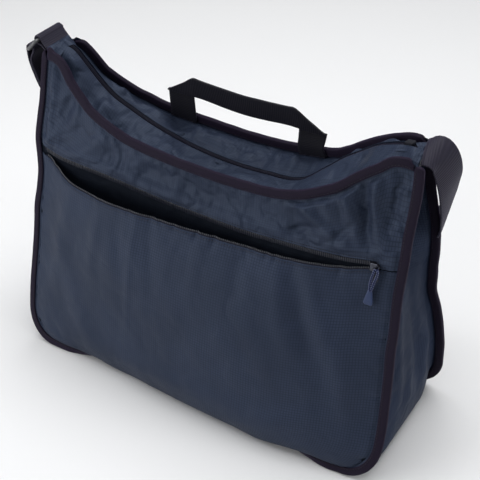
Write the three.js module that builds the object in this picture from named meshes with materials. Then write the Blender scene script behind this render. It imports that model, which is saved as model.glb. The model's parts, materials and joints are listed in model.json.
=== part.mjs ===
import * as THREE from "three";

// Soft zipped shoulder bag in thin woven cloth, standing on its base.
// Millimetres, Z up, X along the width, front towards -Y, origin under the middle of the base.

// Main sizes
const clothThick = 1;
const tapeThick = 0.8;
const webThick = 2;
const layerGap = 0.4;
const finWidth = 10;
const finHold = 8.6;
const bindThick = 1;
const bindClear = 0.35;
const baseHalfDepth = 79;
const topHalfDepth = 19.5;
const cornerHeight = 335;
const rimRootAtCorner = 324.5;
const cornerRise = 35;
const cornerRun = 27;
const strapWidth = 38;

const layerStep = (clothThick + layerGap) / 2;
const channelInner = layerStep + clothThick / 2 + bindClear;
const finHalf = channelInner + bindThick;

// Half widths of the outer edge at each height
const outlineRows = [
  { z: 45, frontLeft: 214.9, frontRight: 219.5, back: 220.2 },
  { z: 60, frontLeft: 214.9, frontRight: 219, back: 220.7 },
  { z: 79, frontLeft: 214.4, frontRight: 218, back: 220.2 },
  { z: 100, frontLeft: 212.9, frontRight: 217, back: 218.2 },
  { z: 123, frontLeft: 211.4, frontRight: 215.5, back: 215.2 },
  { z: 145, frontLeft: 210.9, frontRight: 213.5, back: 210 },
  { z: 165, frontLeft: 210.4, frontRight: 213.3, back: 209.5 },
  { z: 185, frontLeft: 207.9, frontRight: 212, back: 210 },
  { z: 205, frontLeft: 206.6, frontRight: 211, back: 211 },
  { z: 222, frontLeft: 208.2, frontRight: 211.2, back: 211 },
  { z: 240, frontLeft: 210.7, frontRight: 211.4, back: 210.5 },
  { z: 260, frontLeft: 208.9, frontRight: 210.8, back: 210 },
  { z: 280, frontLeft: 206.4, frontRight: 211.4, back: 209 },
  { z: 300, frontLeft: 205.4, frontRight: 211.6, back: 208.5 },
  { z: 318, frontLeft: 204.4, frontRight: 211, back: 208 },
  { z: 335, frontLeft: 203.4, frontRight: 209, back: 206 },
];

// Height of the top edge of both rims, and the line of the closed top zip, along the width
const rimRows = [
  { x: -212, front: 336, back: 334, zip: 333, zipY: 4 },
  { x: -198, front: 335, back: 331, zip: 333, zipY: 4 },
  { x: -183, front: 330, back: 317, zip: 330, zipY: 5 },
  { x: -168, front: 318.5, back: 308, zip: 315, zipY: 6 },
  { x: -153, front: 305.5, back: 299, zip: 299, zipY: 7 },
  { x: -138, front: 294, back: 291, zip: 288, zipY: 7 },
  { x: -122, front: 286.5, back: 285, zip: 281, zipY: 7 },
  { x: -90, front: 277, back: 277, zip: 270, zipY: 6 },
  { x: -45, front: 272, back: 273, zip: 260, zipY: 5 },
  { x: 0, front: 270, back: 271, zip: 256, zipY: 4 },
  { x: 40, front: 270, back: 273, zip: 256, zipY: 5 },
  { x: 76, front: 272.5, back: 279, zip: 259, zipY: 8 },
  { x: 100, front: 279, back: 286, zip: 277, zipY: 13 },
  { x: 116, front: 286.5, back: 296, zip: 291, zipY: 16 },
  { x: 132, front: 296, back: 308, zip: 303, zipY: 16 },
  { x: 150, front: 311, back: 320, zip: 317, zipY: 13 },
  { x: 165, front: 322, back: 328, zip: 325, zipY: 10 },
  { x: 182, front: 332.5, back: 333.5, zip: 332, zipY: 6 },
  { x: 198, front: 337, back: 335, zip: 334, zipY: 4 },
  { x: 212, front: 338, back: 336, zip: 334, zipY: 4 },
];

// How far the seam at the base strays outwards along the width
const baseRows = [
  { x: -181, front: 1, back: 1 },
  { x: -150, front: 2, back: 3 },
  { x: -113, front: -2.6, back: 4 },
  { x: -76, front: -4.6, back: 2 },
  { x: -30, front: -2, back: 0 },
  { x: 20, front: 0.6, back: 1 },
  { x: 57, front: 2.2, back: 3 },
  { x: 93, front: 5.6, back: 3 },
  { x: 139, front: 7.6, back: 1 },
  { x: 165, front: 7.4, back: 0 },
  { x: 181, front: 5.6, back: 0 },
];

// How far each wall swells out of its seam plane at each height over the base edge
const swellRows = [
  { h: 0, front: 0, back: 0 },
  { h: 1.5, front: 3.6, back: 3.6 },
  { h: 5, front: 7.6, back: 7.4 },
  { h: 11, front: 11, back: 11 },
  { h: 20, front: 14, back: 14.5 },
  { h: 34, front: 16, back: 18 },
  { h: 60, front: 17, back: 21 },
  { h: 100, front: 16, back: 22 },
  { h: 150, front: 12, back: 18 },
  { h: 200, front: 6, back: 13 },
  { h: 235, front: 4, back: 11 },
  { h: 262, front: 7, back: 10 },
  { h: 335, front: 7, back: 10 },
];

// The open pocket mouth: height of each lip and how far the lower lip stands off
const mouthRows = [
  { x: -200, upper: 230.5, lower: 227.5, stand: 0 },
  { x: -190, upper: 227.8, lower: 224.6, stand: 0.6 },
  { x: -178, upper: 225.4, lower: 219.5, stand: 4 },
  { x: -160, upper: 224, lower: 213, stand: 9 },
  { x: -128, upper: 223.5, lower: 209, stand: 15 },
  { x: -95, upper: 222, lower: 208, stand: 19 },
  { x: -65, upper: 220, lower: 208, stand: 18 },
  { x: -30, upper: 218, lower: 208, stand: 15 },
  { x: 10, upper: 217, lower: 208.5, stand: 12 },
  { x: 50, upper: 216.5, lower: 209.5, stand: 9.5 },
  { x: 90, upper: 218.5, lower: 210.5, stand: 7.5 },
  { x: 125, upper: 220.5, lower: 214, stand: 5 },
  { x: 155, upper: 223.5, lower: 219, stand: 2.2 },
  { x: 175, upper: 227, lower: 224.4, stand: 0.4 },
  { x: 200, upper: 230, lower: 227.4, stand: 0 },
];

// Folds and dents: middle, turn of the long way from upright, half length, half width, rise
const pocketFolds = [
  { x: -168, z: 130, turn: 14, long: 90, wide: 13, rise: 4.5 },
  { x: -142, z: 75, turn: -24, long: 60, wide: 15, rise: 3.5 },
  { x: -118, z: 160, turn: 8, long: 46, wide: 12, rise: 3.5 },
  { x: -84, z: 178, turn: -6, long: 34, wide: 11, rise: 3 },
  { x: -52, z: 170, turn: 5, long: 40, wide: 11, rise: 3.2 },
  { x: -18, z: 180, turn: -3, long: 30, wide: 11, rise: 2.6 },
  { x: 14, z: 172, turn: 6, long: 38, wide: 11, rise: 3 },
  { x: 52, z: 182, turn: -8, long: 30, wide: 11, rise: 2.4 },
  { x: 96, z: 176, turn: -16, long: 42, wide: 12, rise: 2.8 },
  { x: 138, z: 168, turn: -28, long: 60, wide: 13, rise: 3.6 },
  { x: 172, z: 110, turn: -10, long: 80, wide: 11, rise: 3.4 },
  { x: 110, z: 42, turn: 62, long: 70, wide: 14, rise: 3 },
  { x: -20, z: 38, turn: 88, long: 110, wide: 15, rise: 3 },
];
const upperFolds = [
  { x: -176, z: 262, turn: 34, long: 46, wide: 11, rise: 5 },
  { x: -140, z: 248, turn: 52, long: 40, wide: 11, rise: 4 },
  { x: -98, z: 243, turn: 74, long: 40, wide: 11, rise: 3 },
  { x: -20, z: 238, turn: 88, long: 60, wide: 11, rise: 3.5 },
  { x: 70, z: 240, turn: 84, long: 46, wide: 11, rise: 3.2 },
  { x: 124, z: 254, turn: -60, long: 38, wide: 11, rise: 5 },
  { x: 150, z: 280, turn: -40, long: 40, wide: 11, rise: 5.5 },
  { x: 178, z: 262, turn: -18, long: 44, wide: 11, rise: 4 },
];
const backFolds = [
  { x: -170, z: 230, turn: 24, long: 80, wide: 17, rise: 6 },
  { x: -120, z: 200, turn: 40, long: 70, wide: 17, rise: 5 },
  { x: -50, z: 225, turn: 82, long: 70, wide: 17, rise: 5 },
  { x: 60, z: 222, turn: -84, long: 66, wide: 17, rise: 4.5 },
  { x: 132, z: 190, turn: -36, long: 80, wide: 17, rise: 6 },
  { x: 172, z: 130, turn: -12, long: 80, wide: 17, rise: 5 },
  { x: -160, z: 95, turn: -18, long: 60, wide: 17, rise: 4 },
  { x: 10, z: 60, turn: 88, long: 120, wide: 17, rise: 4 },
];

// Folds across the top cloth: where along the width, where from rim to zip, half width, rise
const stripFolds = [
  { x: -176, part: 0.5, wide: 8, rise: 3.5 },
  { x: -158, part: 0.45, wide: 7, rise: -3 },
  { x: -132, part: 0.5, wide: 10, rise: 3 },
  { x: -112, part: 0.4, wide: 8, rise: -3.4 },
  { x: -70, part: 0.5, wide: 16, rise: 2.6 },
  { x: -24, part: 0.5, wide: 15, rise: -2.4 },
  { x: 30, part: 0.5, wide: 17, rise: 2.8 },
  { x: 74, part: 0.45, wide: 12, rise: -2.8 },
  { x: 106, part: 0.5, wide: 9, rise: 3.2 },
  { x: 128, part: 0.4, wide: 8, rise: -3 },
  { x: 150, part: 0.5, wide: 9, rise: 3.6 },
  { x: 178, part: 0.5, wide: 8, rise: -2.6 },
];

// Sideways swell of the gusset beside each height, right then left
const gussetRows = [
  { z: 12, right: 6, left: 6 },
  { z: 45, right: 6, left: 6 },
  { z: 79, right: 5, left: 6 },
  { z: 123, right: 3, left: 4 },
  { z: 165, right: -2, left: 1 },
  { z: 205, right: -7, left: -4 },
  { z: 240, right: -9, left: -7 },
  { z: 280, right: -8, left: -6 },
  { z: 305, right: -4, left: -4 },
  { z: 320, right: 0, left: 0 },
];

const front = {
  sign: -1,
  left: "frontLeft",
  right: "frontRight",
  rim: "front",
  swell: "front",
  baseHalf: baseHalfDepth,
};
const back = {
  sign: 1,
  left: "back",
  right: "back",
  rim: "back",
  swell: "back",
  baseHalf: baseHalfDepth,
};

// Plain helpers
const clamp = (value, low, high) => Math.min(high, Math.max(low, value));
const mix = (a, b, part) => a + (b - a) * part;
const ease = (part) => {
  const t = clamp(part, 0, 1);
  return t * t * (3 - 2 * t);
};
const point = (x, y, z) => new THREE.Vector3(x, y, z);
const moved = (start, along, far) => start.clone().addScaledVector(along, far);

// Smooth reading of one column of a table, between its rows
function read(rows, key, column, at) {
  const last = rows.length - 1;
  if (at <= rows[0][key]) return rows[0][column];
  if (at >= rows[last][key]) return rows[last][column];
  let i = 0;
  while (at > rows[i + 1][key]) i += 1;
  const slope = (k) => {
    const a = rows[Math.max(k - 1, 0)];
    const b = rows[Math.min(k + 1, last)];
    return (b[column] - a[column]) / (b[key] - a[key]);
  };
  const span = rows[i + 1][key] - rows[i][key];
  const t = (at - rows[i][key]) / span;
  const u = 1 - t;
  const flat = rows[i][column] * u * u * (1 + 2 * t) + rows[i + 1][column] * t * t * (3 - 2 * t);
  return flat + span * t * u * (slope(i) * u - slope(i + 1) * t);
}

// Height added by a set of folds at one spot
function foldRise(folds, x, z) {
  let sum = 0;
  for (const fold of folds) {
    const turn = THREE.MathUtils.degToRad(fold.turn);
    const dx = x - fold.x;
    const dz = z - fold.z;
    const along = (dz * Math.cos(turn) + dx * Math.sin(turn)) / fold.long;
    const across = (dx * Math.cos(turn) - dz * Math.sin(turn)) / fold.wide;
    sum += fold.rise * Math.exp(-along * along - across * across);
  }
  return sum;
}

// Seam plane of a wall: it leans in towards the top
const leanOf = (wall) => (wall.baseHalf - topHalfDepth) / cornerHeight;
const upOf = (wall) => point(0, -wall.sign * leanOf(wall), 1).normalize();
const outOf = (wall) => point(0, wall.sign, leanOf(wall)).normalize();
const seamY = (wall, z) => wall.sign * (wall.baseHalf - leanOf(wall) * z);

// Under the base the bound seam turns from hanging down to lying flat and pointing inwards
const hangTurn = -Math.atan((baseHalfDepth - topHalfDepth) / cornerHeight);
const tuckStart = 178;
const tuckEnd = 84;
function tuckTurn(x) {
  return mix(hangTurn, Math.PI / 2, ease((tuckStart - Math.abs(x)) / (tuckStart - tuckEnd)));
}
const rootHeight = (turn) => finWidth * Math.cos(turn) + finHalf * Math.abs(Math.sin(turn));
const cornerFoot = rootHeight(hangTurn);
const cornerTop = cornerFoot + cornerRise;

function rootX(wall, side, z) {
  const column = side > 0 ? wall.right : wall.left;
  if (z >= cornerTop) return side * (read(outlineRows, "z", column, z) - finWidth);
  const full = read(outlineRows, "z", column, cornerTop) - finWidth;
  const sine = clamp(1 - (z - cornerFoot) / cornerRise, 0, 1);
  return side * (full - cornerRun * (1 - Math.sqrt(1 - sine * sine)));
}

const spread = (u) => 1 - Math.abs(u) ** 2.3;

function acrossX(wall, u, z) {
  const right = rootX(wall, 1, z);
  const left = rootX(wall, -1, z);
  return (right + left) / 2 + (u * (right - left)) / 2;
}

const baseEdge = (wall, u) => rootHeight(tuckTurn(acrossX(wall, u, cornerFoot)));

function rimSlope(wall, x) {
  return (read(rimRows, "x", wall.rim, x + 2) - read(rimRows, "x", wall.rim, x - 2)) / 4;
}

function rimRoot(wall, u) {
  const x = acrossX(wall, u, rimRootAtCorner);
  const slope = rimSlope(wall, x);
  const free = read(rimRows, "x", wall.rim, x) - finWidth * Math.sqrt(1 + slope * slope);
  return mix(free, rimRootAtCorner, ease((Math.abs(u) - 0.86) / 0.14));
}

// One spot on the seam-to-seam surface of a wall
function wallPoint(wall, u, z) {
  const h = z - baseEdge(wall, u);
  const swell = read(swellRows, "h", wall.swell, h) * spread(u);
  const stray = read(baseRows, "x", wall.rim, acrossX(wall, u, cornerFoot));
  const bow = stray * (1 - ease(h / 70));
  return point(acrossX(wall, u, z), seamY(wall, z) + wall.sign * (swell + bow), z);
}

function wallNormal(wall, u, z) {
  const step = 0.002;
  const along = wallPoint(wall, Math.min(u + step, 1), z).sub(wallPoint(wall, Math.max(u - step, -1), z));
  const low = Math.max(z - 0.5, baseEdge(wall, u));
  const rise = wallPoint(wall, u, z + 0.5).sub(wallPoint(wall, u, low));
  const normal = along.cross(rise).normalize();
  return normal.y * wall.sign < 0 ? normal.negate() : normal;
}

const wallOut = (wall, u, z, far) => moved(wallPoint(wall, u, z), wallNormal(wall, u, z), far);

// Frames of the bound seam: root, direction of the fin, direction of its outer face
function sideFrame(wall, side, z) {
  const low = Math.max(z - 0.5, cornerFoot);
  let run = (rootX(wall, side, z + 0.5) - rootX(wall, side, low)) / (z + 0.5 - low);
  if (z <= cornerFoot + 0.01) run = side * 1e6;
  const up = upOf(wall);
  const fin = point(side, 0, 0).addScaledVector(up, -side * run).normalize();
  return { root: wallPoint(wall, side, z), fin, face: outOf(wall) };
}

function baseFrame(wall, u) {
  const z = baseEdge(wall, u);
  const root = wallPoint(wall, u, z);
  const turn = tuckTurn(acrossX(wall, u, cornerFoot));
  const fin = point(0, -wall.sign * Math.sin(turn), -Math.cos(turn));
  const face = point(0, wall.sign * Math.cos(turn), -Math.sin(turn));
  return { root, fin, face };
}

function rimFrame(wall, u) {
  const z = rimRoot(wall, u);
  const root = wallPoint(wall, u, z);
  const ahead = wallPoint(wall, u + 0.004, rimRoot(wall, u + 0.004));
  const behind = wallPoint(wall, u - 0.004, rimRoot(wall, u - 0.004));
  const along = ahead.sub(behind).normalize();
  const face = outOf(wall).addScaledVector(along, -outOf(wall).dot(along)).normalize();
  const fin = face.clone().cross(along).normalize();
  if (fin.z < 0) fin.negate();
  return { root, fin, face };
}

// Shared rows of heights and columns, so that layers follow one another
const cornerTurns = [90, 72, 54, 36, 18];
const cornerHeights = cornerTurns.map((turn) => {
  return cornerFoot + cornerRise * (1 - Math.sin(THREE.MathUtils.degToRad(turn)));
});
const sideHeights = [cornerTop, 72, 97, 123, 145, 165, 185, 205, 222, 240, 262, 285, 305, rimRootAtCorner];
const wallHeights = [...cornerHeights, ...sideHeights];
const wallParts = wallHeights.map((z) => (z - cornerFoot) / (rimRootAtCorner - cornerFoot));
const halfColumns = [0.1, 0.2, 0.3, 0.4, 0.5, 0.6, 0.68, 0.75, 0.82, 0.89, 0.95, 1];
const wallColumns = [...halfColumns.map((u) => -u).reverse(), 0, ...halfColumns];

const fewerColumns = wallColumns.filter((u) => ![0.1, 0.3].includes(Math.abs(u)));

const heightAt = (wall, u, part) => mix(baseEdge(wall, u), rimRoot(wall, u), part);

// A closed solid of even thickness around a middle surface
function thicken(points, faces, thickness) {
  const normals = points.map(() => point(0, 0, 0));
  const faceNormals = faces.map(([a, b, c]) => {
    const ab = points[b].clone().sub(points[a]);
    const ac = points[c].clone().sub(points[a]);
    return ab.cross(ac);
  });
  faces.forEach((face, k) => face.forEach((i) => normals[i].add(faceNormals[k].clone().normalize())));
  normals.forEach((normal) => normal.normalize());
  const reach = points.map(() => 1);
  faces.forEach((face, k) => {
    const flat = faceNormals[k].clone().normalize();
    face.forEach((i) => {
      reach[i] = Math.min(reach[i], Math.max(flat.dot(normals[i]), 0.72));
    });
  });
  const half = thickness / 2;
  const upper = points.map((p, i) => moved(p, normals[i], half / reach[i]));
  const lower = points.map((p, i) => moved(p, normals[i], -half / reach[i]));
  const count = points.length;
  const index = [];
  const edges = new Map();
  for (const [a, b, c] of faces) {
    index.push(a, b, c, a + count, c + count, b + count);
    for (const [from, to] of [[a, b], [b, c], [c, a]]) {
      const back = `${to}_${from}`;
      if (edges.has(back)) edges.delete(back);
      else edges.set(`${from}_${to}`, [from, to]);
    }
  }
  for (const [from, to] of edges.values()) {
    index.push(from, from + count, to, to, from + count, to + count);
  }
  return solid([...upper, ...lower], index);
}

function solid(points, index) {
  const geometry = new THREE.BufferGeometry();
  const flat = points.flatMap((p) => [p.x, p.y, Math.abs(p.z) < 0.02 ? 0 : p.z]);
  geometry.setAttribute("position", new THREE.Float32BufferAttribute(flat, 3));
  geometry.setIndex(index);
  return geometry;
}

// A sheet from rows of points, every row the same length; its cuts turn over at one column
function sheet(rows, thickness, turnAt = Infinity) {
  const points = rows.flat();
  const wide = rows[0].length;
  const faces = [];
  for (let r = 0; r < rows.length - 1; r += 1) {
    for (let c = 0; c < wide - 1; c += 1) {
      const a = r * wide + c;
      const [b, far, low] = [a + 1, a + wide + 1, a + wide];
      if (c < turnAt) faces.push([a, b, far], [a, far, low]);
      else faces.push([a, b, low], [b, far, low]);
    }
  }
  return thicken(points, faces, thickness);
}

// A closed outline carried along frames, with flat ends
function carry(frames, outline) {
  const points = frames.flatMap((frame) => {
    return outline.map(([far, off]) => moved(moved(frame.root, frame.fin, far), frame.face, off));
  });
  const sides = outline.length;
  const index = [];
  for (let k = 0; k < frames.length - 1; k += 1) {
    for (let s = 0; s < sides; s += 1) {
      const a = k * sides + s;
      const b = k * sides + ((s + 1) % sides);
      const outwards = outline[(s + 1) % sides][0] > outline[s][0];
      if (outwards) index.push(a, b, a + sides, b, b + sides, a + sides);
      else index.push(a, b, b + sides, a, b + sides, a + sides);
    }
  }
  const cap = THREE.ShapeUtils.triangulateShape(outline.map(([far, off]) => new THREE.Vector2(far, off)), []);
  const end = (frames.length - 1) * sides;
  for (const [a, b, c] of cap) {
    index.push(a, c, b, end + a, end + b, end + c);
  }
  return facingOut(solid(points, index));
}

// Turn every face outwards if the body came out inside out
function facingOut(geometry) {
  const index = Array.from(geometry.index.array);
  const spot = geometry.attributes.position;
  let volume = 0;
  const corner = (i) => point(spot.getX(i), spot.getY(i), spot.getZ(i));
  for (let k = 0; k < index.length; k += 3) {
    volume += corner(index[k]).dot(corner(index[k + 1]).cross(corner(index[k + 2])));
  }
  if (volume < 0) {
    for (let k = 0; k < index.length; k += 3) {
      [index[k + 1], index[k + 2]] = [index[k + 2], index[k + 1]];
    }
    geometry.setIndex(index);
  }
  return geometry;
}

// A wall sheet: a grid of rows with a held edge running into the bindings
function wallSheet(wall, parts, columns, topOf, liftOf, held) {
  const rows = parts.map((part) => {
    return columns.map((u) => {
      const z = topOf(u, part);
      return wallOut(wall, u, z, liftOf(u, z));
    });
  });
  const wide = columns.length;
  const points = rows.flat();
  const faces = [];
  const quad = (a, b, c, d) => faces.push([a, b, c], [a, c, d]);
  for (let r = 0; r < rows.length - 1; r += 1) {
    for (let c = 0; c < wide - 1; c += 1) {
      quad(r * wide + c, r * wide + c + 1, (r + 1) * wide + c + 1, (r + 1) * wide + c);
    }
  }
  const edge = (frame) => moved(moved(frame.root, frame.fin, finHold), frame.face, layerStep);
  const add = (spot) => points.push(spot) - 1;
  const top = rows.length - 1;
  const sides = {};
  for (const side of [-1, 1]) {
    const column = side > 0 ? wide - 1 : 0;
    sides[side] = parts.map((part, r) => {
      const frame = r === 0 && held.base ? baseFrame(wall, side) : sideFrame(wall, side, topOf(side, part));
      if (r < held.from) return -1;
      points[r * wide + column].copy(moved(frame.root, frame.face, layerStep));
      return add(edge(frame));
    });
    for (let r = held.from; r < top; r += 1) {
      const [a, b] = [r * wide + column, (r + 1) * wide + column];
      if (side > 0) quad(a, sides[side][r], sides[side][r + 1], b);
      else quad(sides[side][r], a, b, sides[side][r + 1]);
    }
  }
  if (held.base) {
    const low = columns.map((u, c) => {
      const frame = baseFrame(wall, u);
      points[c].copy(moved(frame.root, frame.face, layerStep));
      if (c === 0) return sides[-1][0];
      if (c === wide - 1) return sides[1][0];
      return add(edge(frame));
    });
    for (let c = 0; c < wide - 1; c += 1) quad(low[c + 1], c + 1, c, low[c]);
  }
  if (held.rim) {
    const high = columns.map((u, c) => {
      const frame = rimFrame(wall, u);
      const spot = top * wide + c;
      points[spot].copy(moved(frame.root, frame.face, layerStep));
      return add(moved(points[spot], frame.fin, finHold));
    });
    for (let c = 0; c < wide - 1; c += 1) {
      quad(top * wide + c, top * wide + c + 1, high[c + 1], high[c]);
    }
  }
  const flipped = wall.sign > 0 ? faces.map(([a, b, c]) => [a, c, b]) : faces;
  return facingOut(thicken(points, flipped, clothThick));
}

// Positions along the front zip
const mouth = (column, u) => read(mouthRows, "x", column, acrossX(front, u, 226));
const hemDrop = 5;
const lapTop = 10;
const hemLift = layerStep + tapeThick / 2 + clothThick / 2 + layerGap * 2 + tapeThick / 2 + clothThick / 2;
const tapeLift = (layerStep + hemLift) / 2;

// Back wall of the pocket, from the base seam up to behind the zip
function pocketBack() {
  const edgeTop = mouth("upper", 1) + lapTop;
  const heights = [...cornerHeights, ...sideHeights.filter((z) => z < 230), edgeTop];
  const parts = heights.map((z) => (z - cornerFoot) / (edgeTop - cornerFoot));
  const height = (u, part) => mix(baseEdge(front, u), mouth("upper", u) + lapTop, part);
  return wallSheet(front, parts, fewerColumns, height, () => layerStep, { base: true, rim: false, from: 0 });
}

// Front cloth above the zip, its hem lapping over the zip tape
function upperFront() {
  const low = mouth("upper", 1) + hemDrop;
  const heights = [low, 241, 247, 253, 262, 273, 285, 295, 305, 315, rimRootAtCorner];
  const parts = heights.map((z) => (z - low) / (rimRootAtCorner - low));
  const height = (u, part) => mix(mouth("upper", u) + hemDrop, rimRoot(front, u), part);
  const lift = (u, z) => {
    const over = z - mouth("upper", u);
    const hem = (hemLift - layerStep) * (1 - ease((over - 12) / 7));
    const x = acrossX(front, u, z);
    const calm = ease((over - 6) / 14) * ease((rimRoot(front, u) - z) / 12) * spread(u);
    return layerStep + hem + calm * foldRise(upperFolds, x, z);
  };
  return wallSheet(front, parts, fewerColumns, height, lift, { base: false, rim: true, from: 3 });
}

// Lift of the pocket cloth over the pocket's back wall
function pocketLift(u, part, z) {
  const x = acrossX(front, u, z);
  const open = read(mouthRows, "x", "stand", x) * ease((part - 0.25) / 0.75);
  const belly = 3.5 * Math.sin(Math.PI * clamp(part, 0, 1)) * (1 - u * u);
  const calm = ease(part / 0.12) * (1 - u ** 6);
  const seat = mix(2.6, hemLift, ease((part - 0.7) / 0.22));
  return seat + open + belly + calm * foldRise(pocketFolds, x, z);
}

const pocketHem = (u) => mouth("lower", u) - hemDrop;

// A spot near the open pocket cloth, measured down from the lower lip and out from the cloth
function pocketSpot(u, below, out) {
  const z = mouth("lower", u) - below;
  const part = (z - baseEdge(front, u)) / (pocketHem(u) - baseEdge(front, u));
  return wallOut(front, u, z, pocketLift(u, Math.min(part, 1), z) + out);
}

const pocketColumns = [];
wallColumns.forEach((u, c) => {
  if (c > 0 && Math.abs(u) < 0.8) pocketColumns.push((wallColumns[c - 1] + u) / 2);
  pocketColumns.push(u);
});
const zipColumns = (columns) => [-0.972, ...columns.filter((u) => Math.abs(u) < 0.96), 0.972];

// Pocket cloth in front, from the base to the lower lip
function pocketFront() {
  const heights = [...cornerHeights.slice(1), cornerTop, 60, 78, 97, 116, 134, 151, 167, 182, 196, 209];
  const edgeTop = pocketHem(1);
  const parts = [...heights.map((z) => (z - cornerFoot) / (edgeTop - cornerFoot)), 1];
  const rows = parts.map((part) => {
    return pocketColumns.map((u) => {
      const z = mix(baseEdge(front, u), pocketHem(u), part);
      return wallOut(front, u, z, pocketLift(u, part, z));
    });
  });
  return facingOut(sheet(rows, clothThick));
}

function backPanel() {
  const height = (u, part) => heightAt(back, u, part);
  const lift = (u, z) => {
    const x = acrossX(back, u, z);
    const calm = ease((z - baseEdge(back, u)) / 30) * ease((rimRoot(back, u) - z) / 14) * spread(u);
    return layerStep + calm * foldRise(backFolds, x, z);
  };
  return wallSheet(back, wallParts, fewerColumns, height, lift, { base: true, rim: true, from: 0 });
}

// Stations round the body from one top corner down, along the base and up to the other
function seamStations() {
  const side = (s) => wallHeights.map((z, k) => ({ side: s, z, turn: cornerTurns[k] ?? 0 }));
  const right = side(1).reverse();
  const half = halfColumns.filter((u) => u < 1 && ![0.1, 0.3].includes(u));
  const base = [...half.map((u) => ({ u })).reverse(), { u: 0 }, ...half.map((u) => ({ u: -u }))];
  return [...right, ...base, ...side(-1)];
}

const frameAt = (wall, spot) => {
  return spot.side ? sideFrame(wall, spot.side, spot.z) : baseFrame(wall, spot.u);
};

// Middle line of the gusset at one station
function gussetMiddle(spot) {
  if (spot.u !== undefined) {
    const x = acrossX(front, spot.u, cornerFoot);
    const push = 17 * ease((Math.abs(x) - tuckEnd) / (180 - tuckEnd));
    return { x: x + Math.sign(x) * push, z: clothThick / 2 };
  }
  const full = Math.abs(rootX(front, spot.side, Math.max(spot.z, cornerTop)));
  const swell = read(gussetRows, "z", spot.side > 0 ? "right" : "left", spot.z);
  const crown = spot.z >= rimRootAtCorner ? 4 : 0;
  if (spot.z >= cornerTop) return { x: spot.side * (full + swell), z: spot.z + crown };
  const turn = THREE.MathUtils.degToRad(spot.turn);
  const x = full + swell - 14 * (1 - Math.cos(turn));
  return { x: spot.side * x, z: clothThick / 2 + (cornerTop - clothThick / 2) * (1 - Math.sin(turn)) };
}

const gussetShares = [0.074, 0.155, 0.5, 0.845, 0.926];

function gusset() {
  const rows = seamStations().map((spot) => {
    const frames = [frameAt(front, spot), frameAt(back, spot)];
    const x = spot.side ? 180.5 : Math.abs(acrossX(front, spot.u, cornerFoot));
    const tuck = spot.side ? 0 : ease((tuckStart - x) / (tuckStart - tuckEnd));
    const place = (frame, far, off) => moved(moved(frame.root, frame.fin, far), frame.face, -off);
    const edges = frames.map((frame) => [
      place(frame, finHold, layerStep),
      place(frame, 0.3, layerStep),
      place(frame, -0.5, 2),
      place(frame, mix(-0.5, 0.4, tuck), finHalf + layerGap + clothThick / 2),
    ]);
    const [start, end] = [edges[0][3], edges[1][3]];
    const span = start.distanceTo(end);
    const middle = gussetMiddle(spot);
    const from = mix(0, 11.5, tuck);
    const reach = mix(Math.min(34, span / 2), 24, tuck);
    const inner = gussetShares.map((share) => {
      const spotHere = start.clone().lerp(end, share);
      const depth = Math.min(share, 1 - share) * span;
      const part = ease((depth - from) / (reach - from));
      spotHere.x = mix(spotHere.x, middle.x, part);
      spotHere.z = mix(spotHere.z, middle.z, part);
      return spotHere;
    });
    return [...edges[0], ...inner, ...edges[1].reverse()];
  });
  return facingOut(sheet(rows, clothThick, 6));
}

// Folded tape over the held edges: a channel section
const channel = [
  [0.9, -finHalf],
  [finWidth, -finHalf],
  [finWidth, finHalf],
  [0.9, finHalf],
  [0.9, channelInner],
  [finWidth - bindThick, channelInner],
  [finWidth - bindThick, -channelInner],
  [0.9, -channelInner],
];

function sideBinding(wall) {
  const frames = seamStations().map((spot) => frameAt(wall, spot));
  return carry(frames, channel);
}

function rimBinding(wall) {
  return carry(fewerColumns.map((u) => rimFrame(wall, u)), channel);
}

// Top cloth between a rim and the top zip
const zipSpot = (x, off, drop) => {
  return point(x, read(rimRows, "x", "zipY", x) + off, read(rimRows, "x", "zip", x) - drop);
};

function stripRow(wall, u) {
  const frame = rimFrame(wall, u);
  const place = (far, off) => moved(moved(frame.root, frame.fin, far), frame.face, -off);
  const reach = finHalf + layerGap + clothThick / 2;
  return [place(finHold, layerStep), place(0.3, layerStep), place(-0.5, 2), place(0.2, reach)];
}

// Rows of the top cloth, running from the rim to the zip, with extra rows where it folds
function stripRows(wall) {
  const between = (a, b, part) => a.map((spot, k) => spot.clone().lerp(b[k], part));
  const rows = fewerColumns.map((u) => stripRow(wall, u));
  const last = rows.length - 1;
  rows[0] = between(rows[1], rows[0], 0.7);
  rows[last] = between(rows[last - 1], rows[last], 0.7);
  const full = [];
  fewerColumns.forEach((u, c) => {
    const nearby = Math.abs(u);
    if (c > 0 && nearby < 0.9 && nearby > 0.45) full.push(between(rows[c - 1], rows[c], 0.5));
    full.push(rows[c]);
  });
  return full.map((row) => {
    const start = row[3];
    const end = zipSpot(row[1].x, wall.sign * 5.5, 0);
    const across = [0.33, 0.68, 1].map((part) => {
      const spot = start.clone().lerp(end, part);
      for (const fold of stripFolds) {
        const along = (spot.x - fold.x * (wall.sign > 0 ? -0.94 : 1)) / fold.wide;
        const cross = (part - fold.part) / 0.3;
        spot.z += fold.rise * Math.exp(-along * along - cross * cross) * (1 - part ** 4);
      }
      return spot;
    });
    return [...row, ...across];
  });
}

const topCloth = (wall) => facingOut(sheet(stripRows(wall), clothThick));

// Closed top zip under the edges of the top cloth
const zipDrop = clothThick / 2 + 0.6 + tapeThick / 2;

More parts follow.
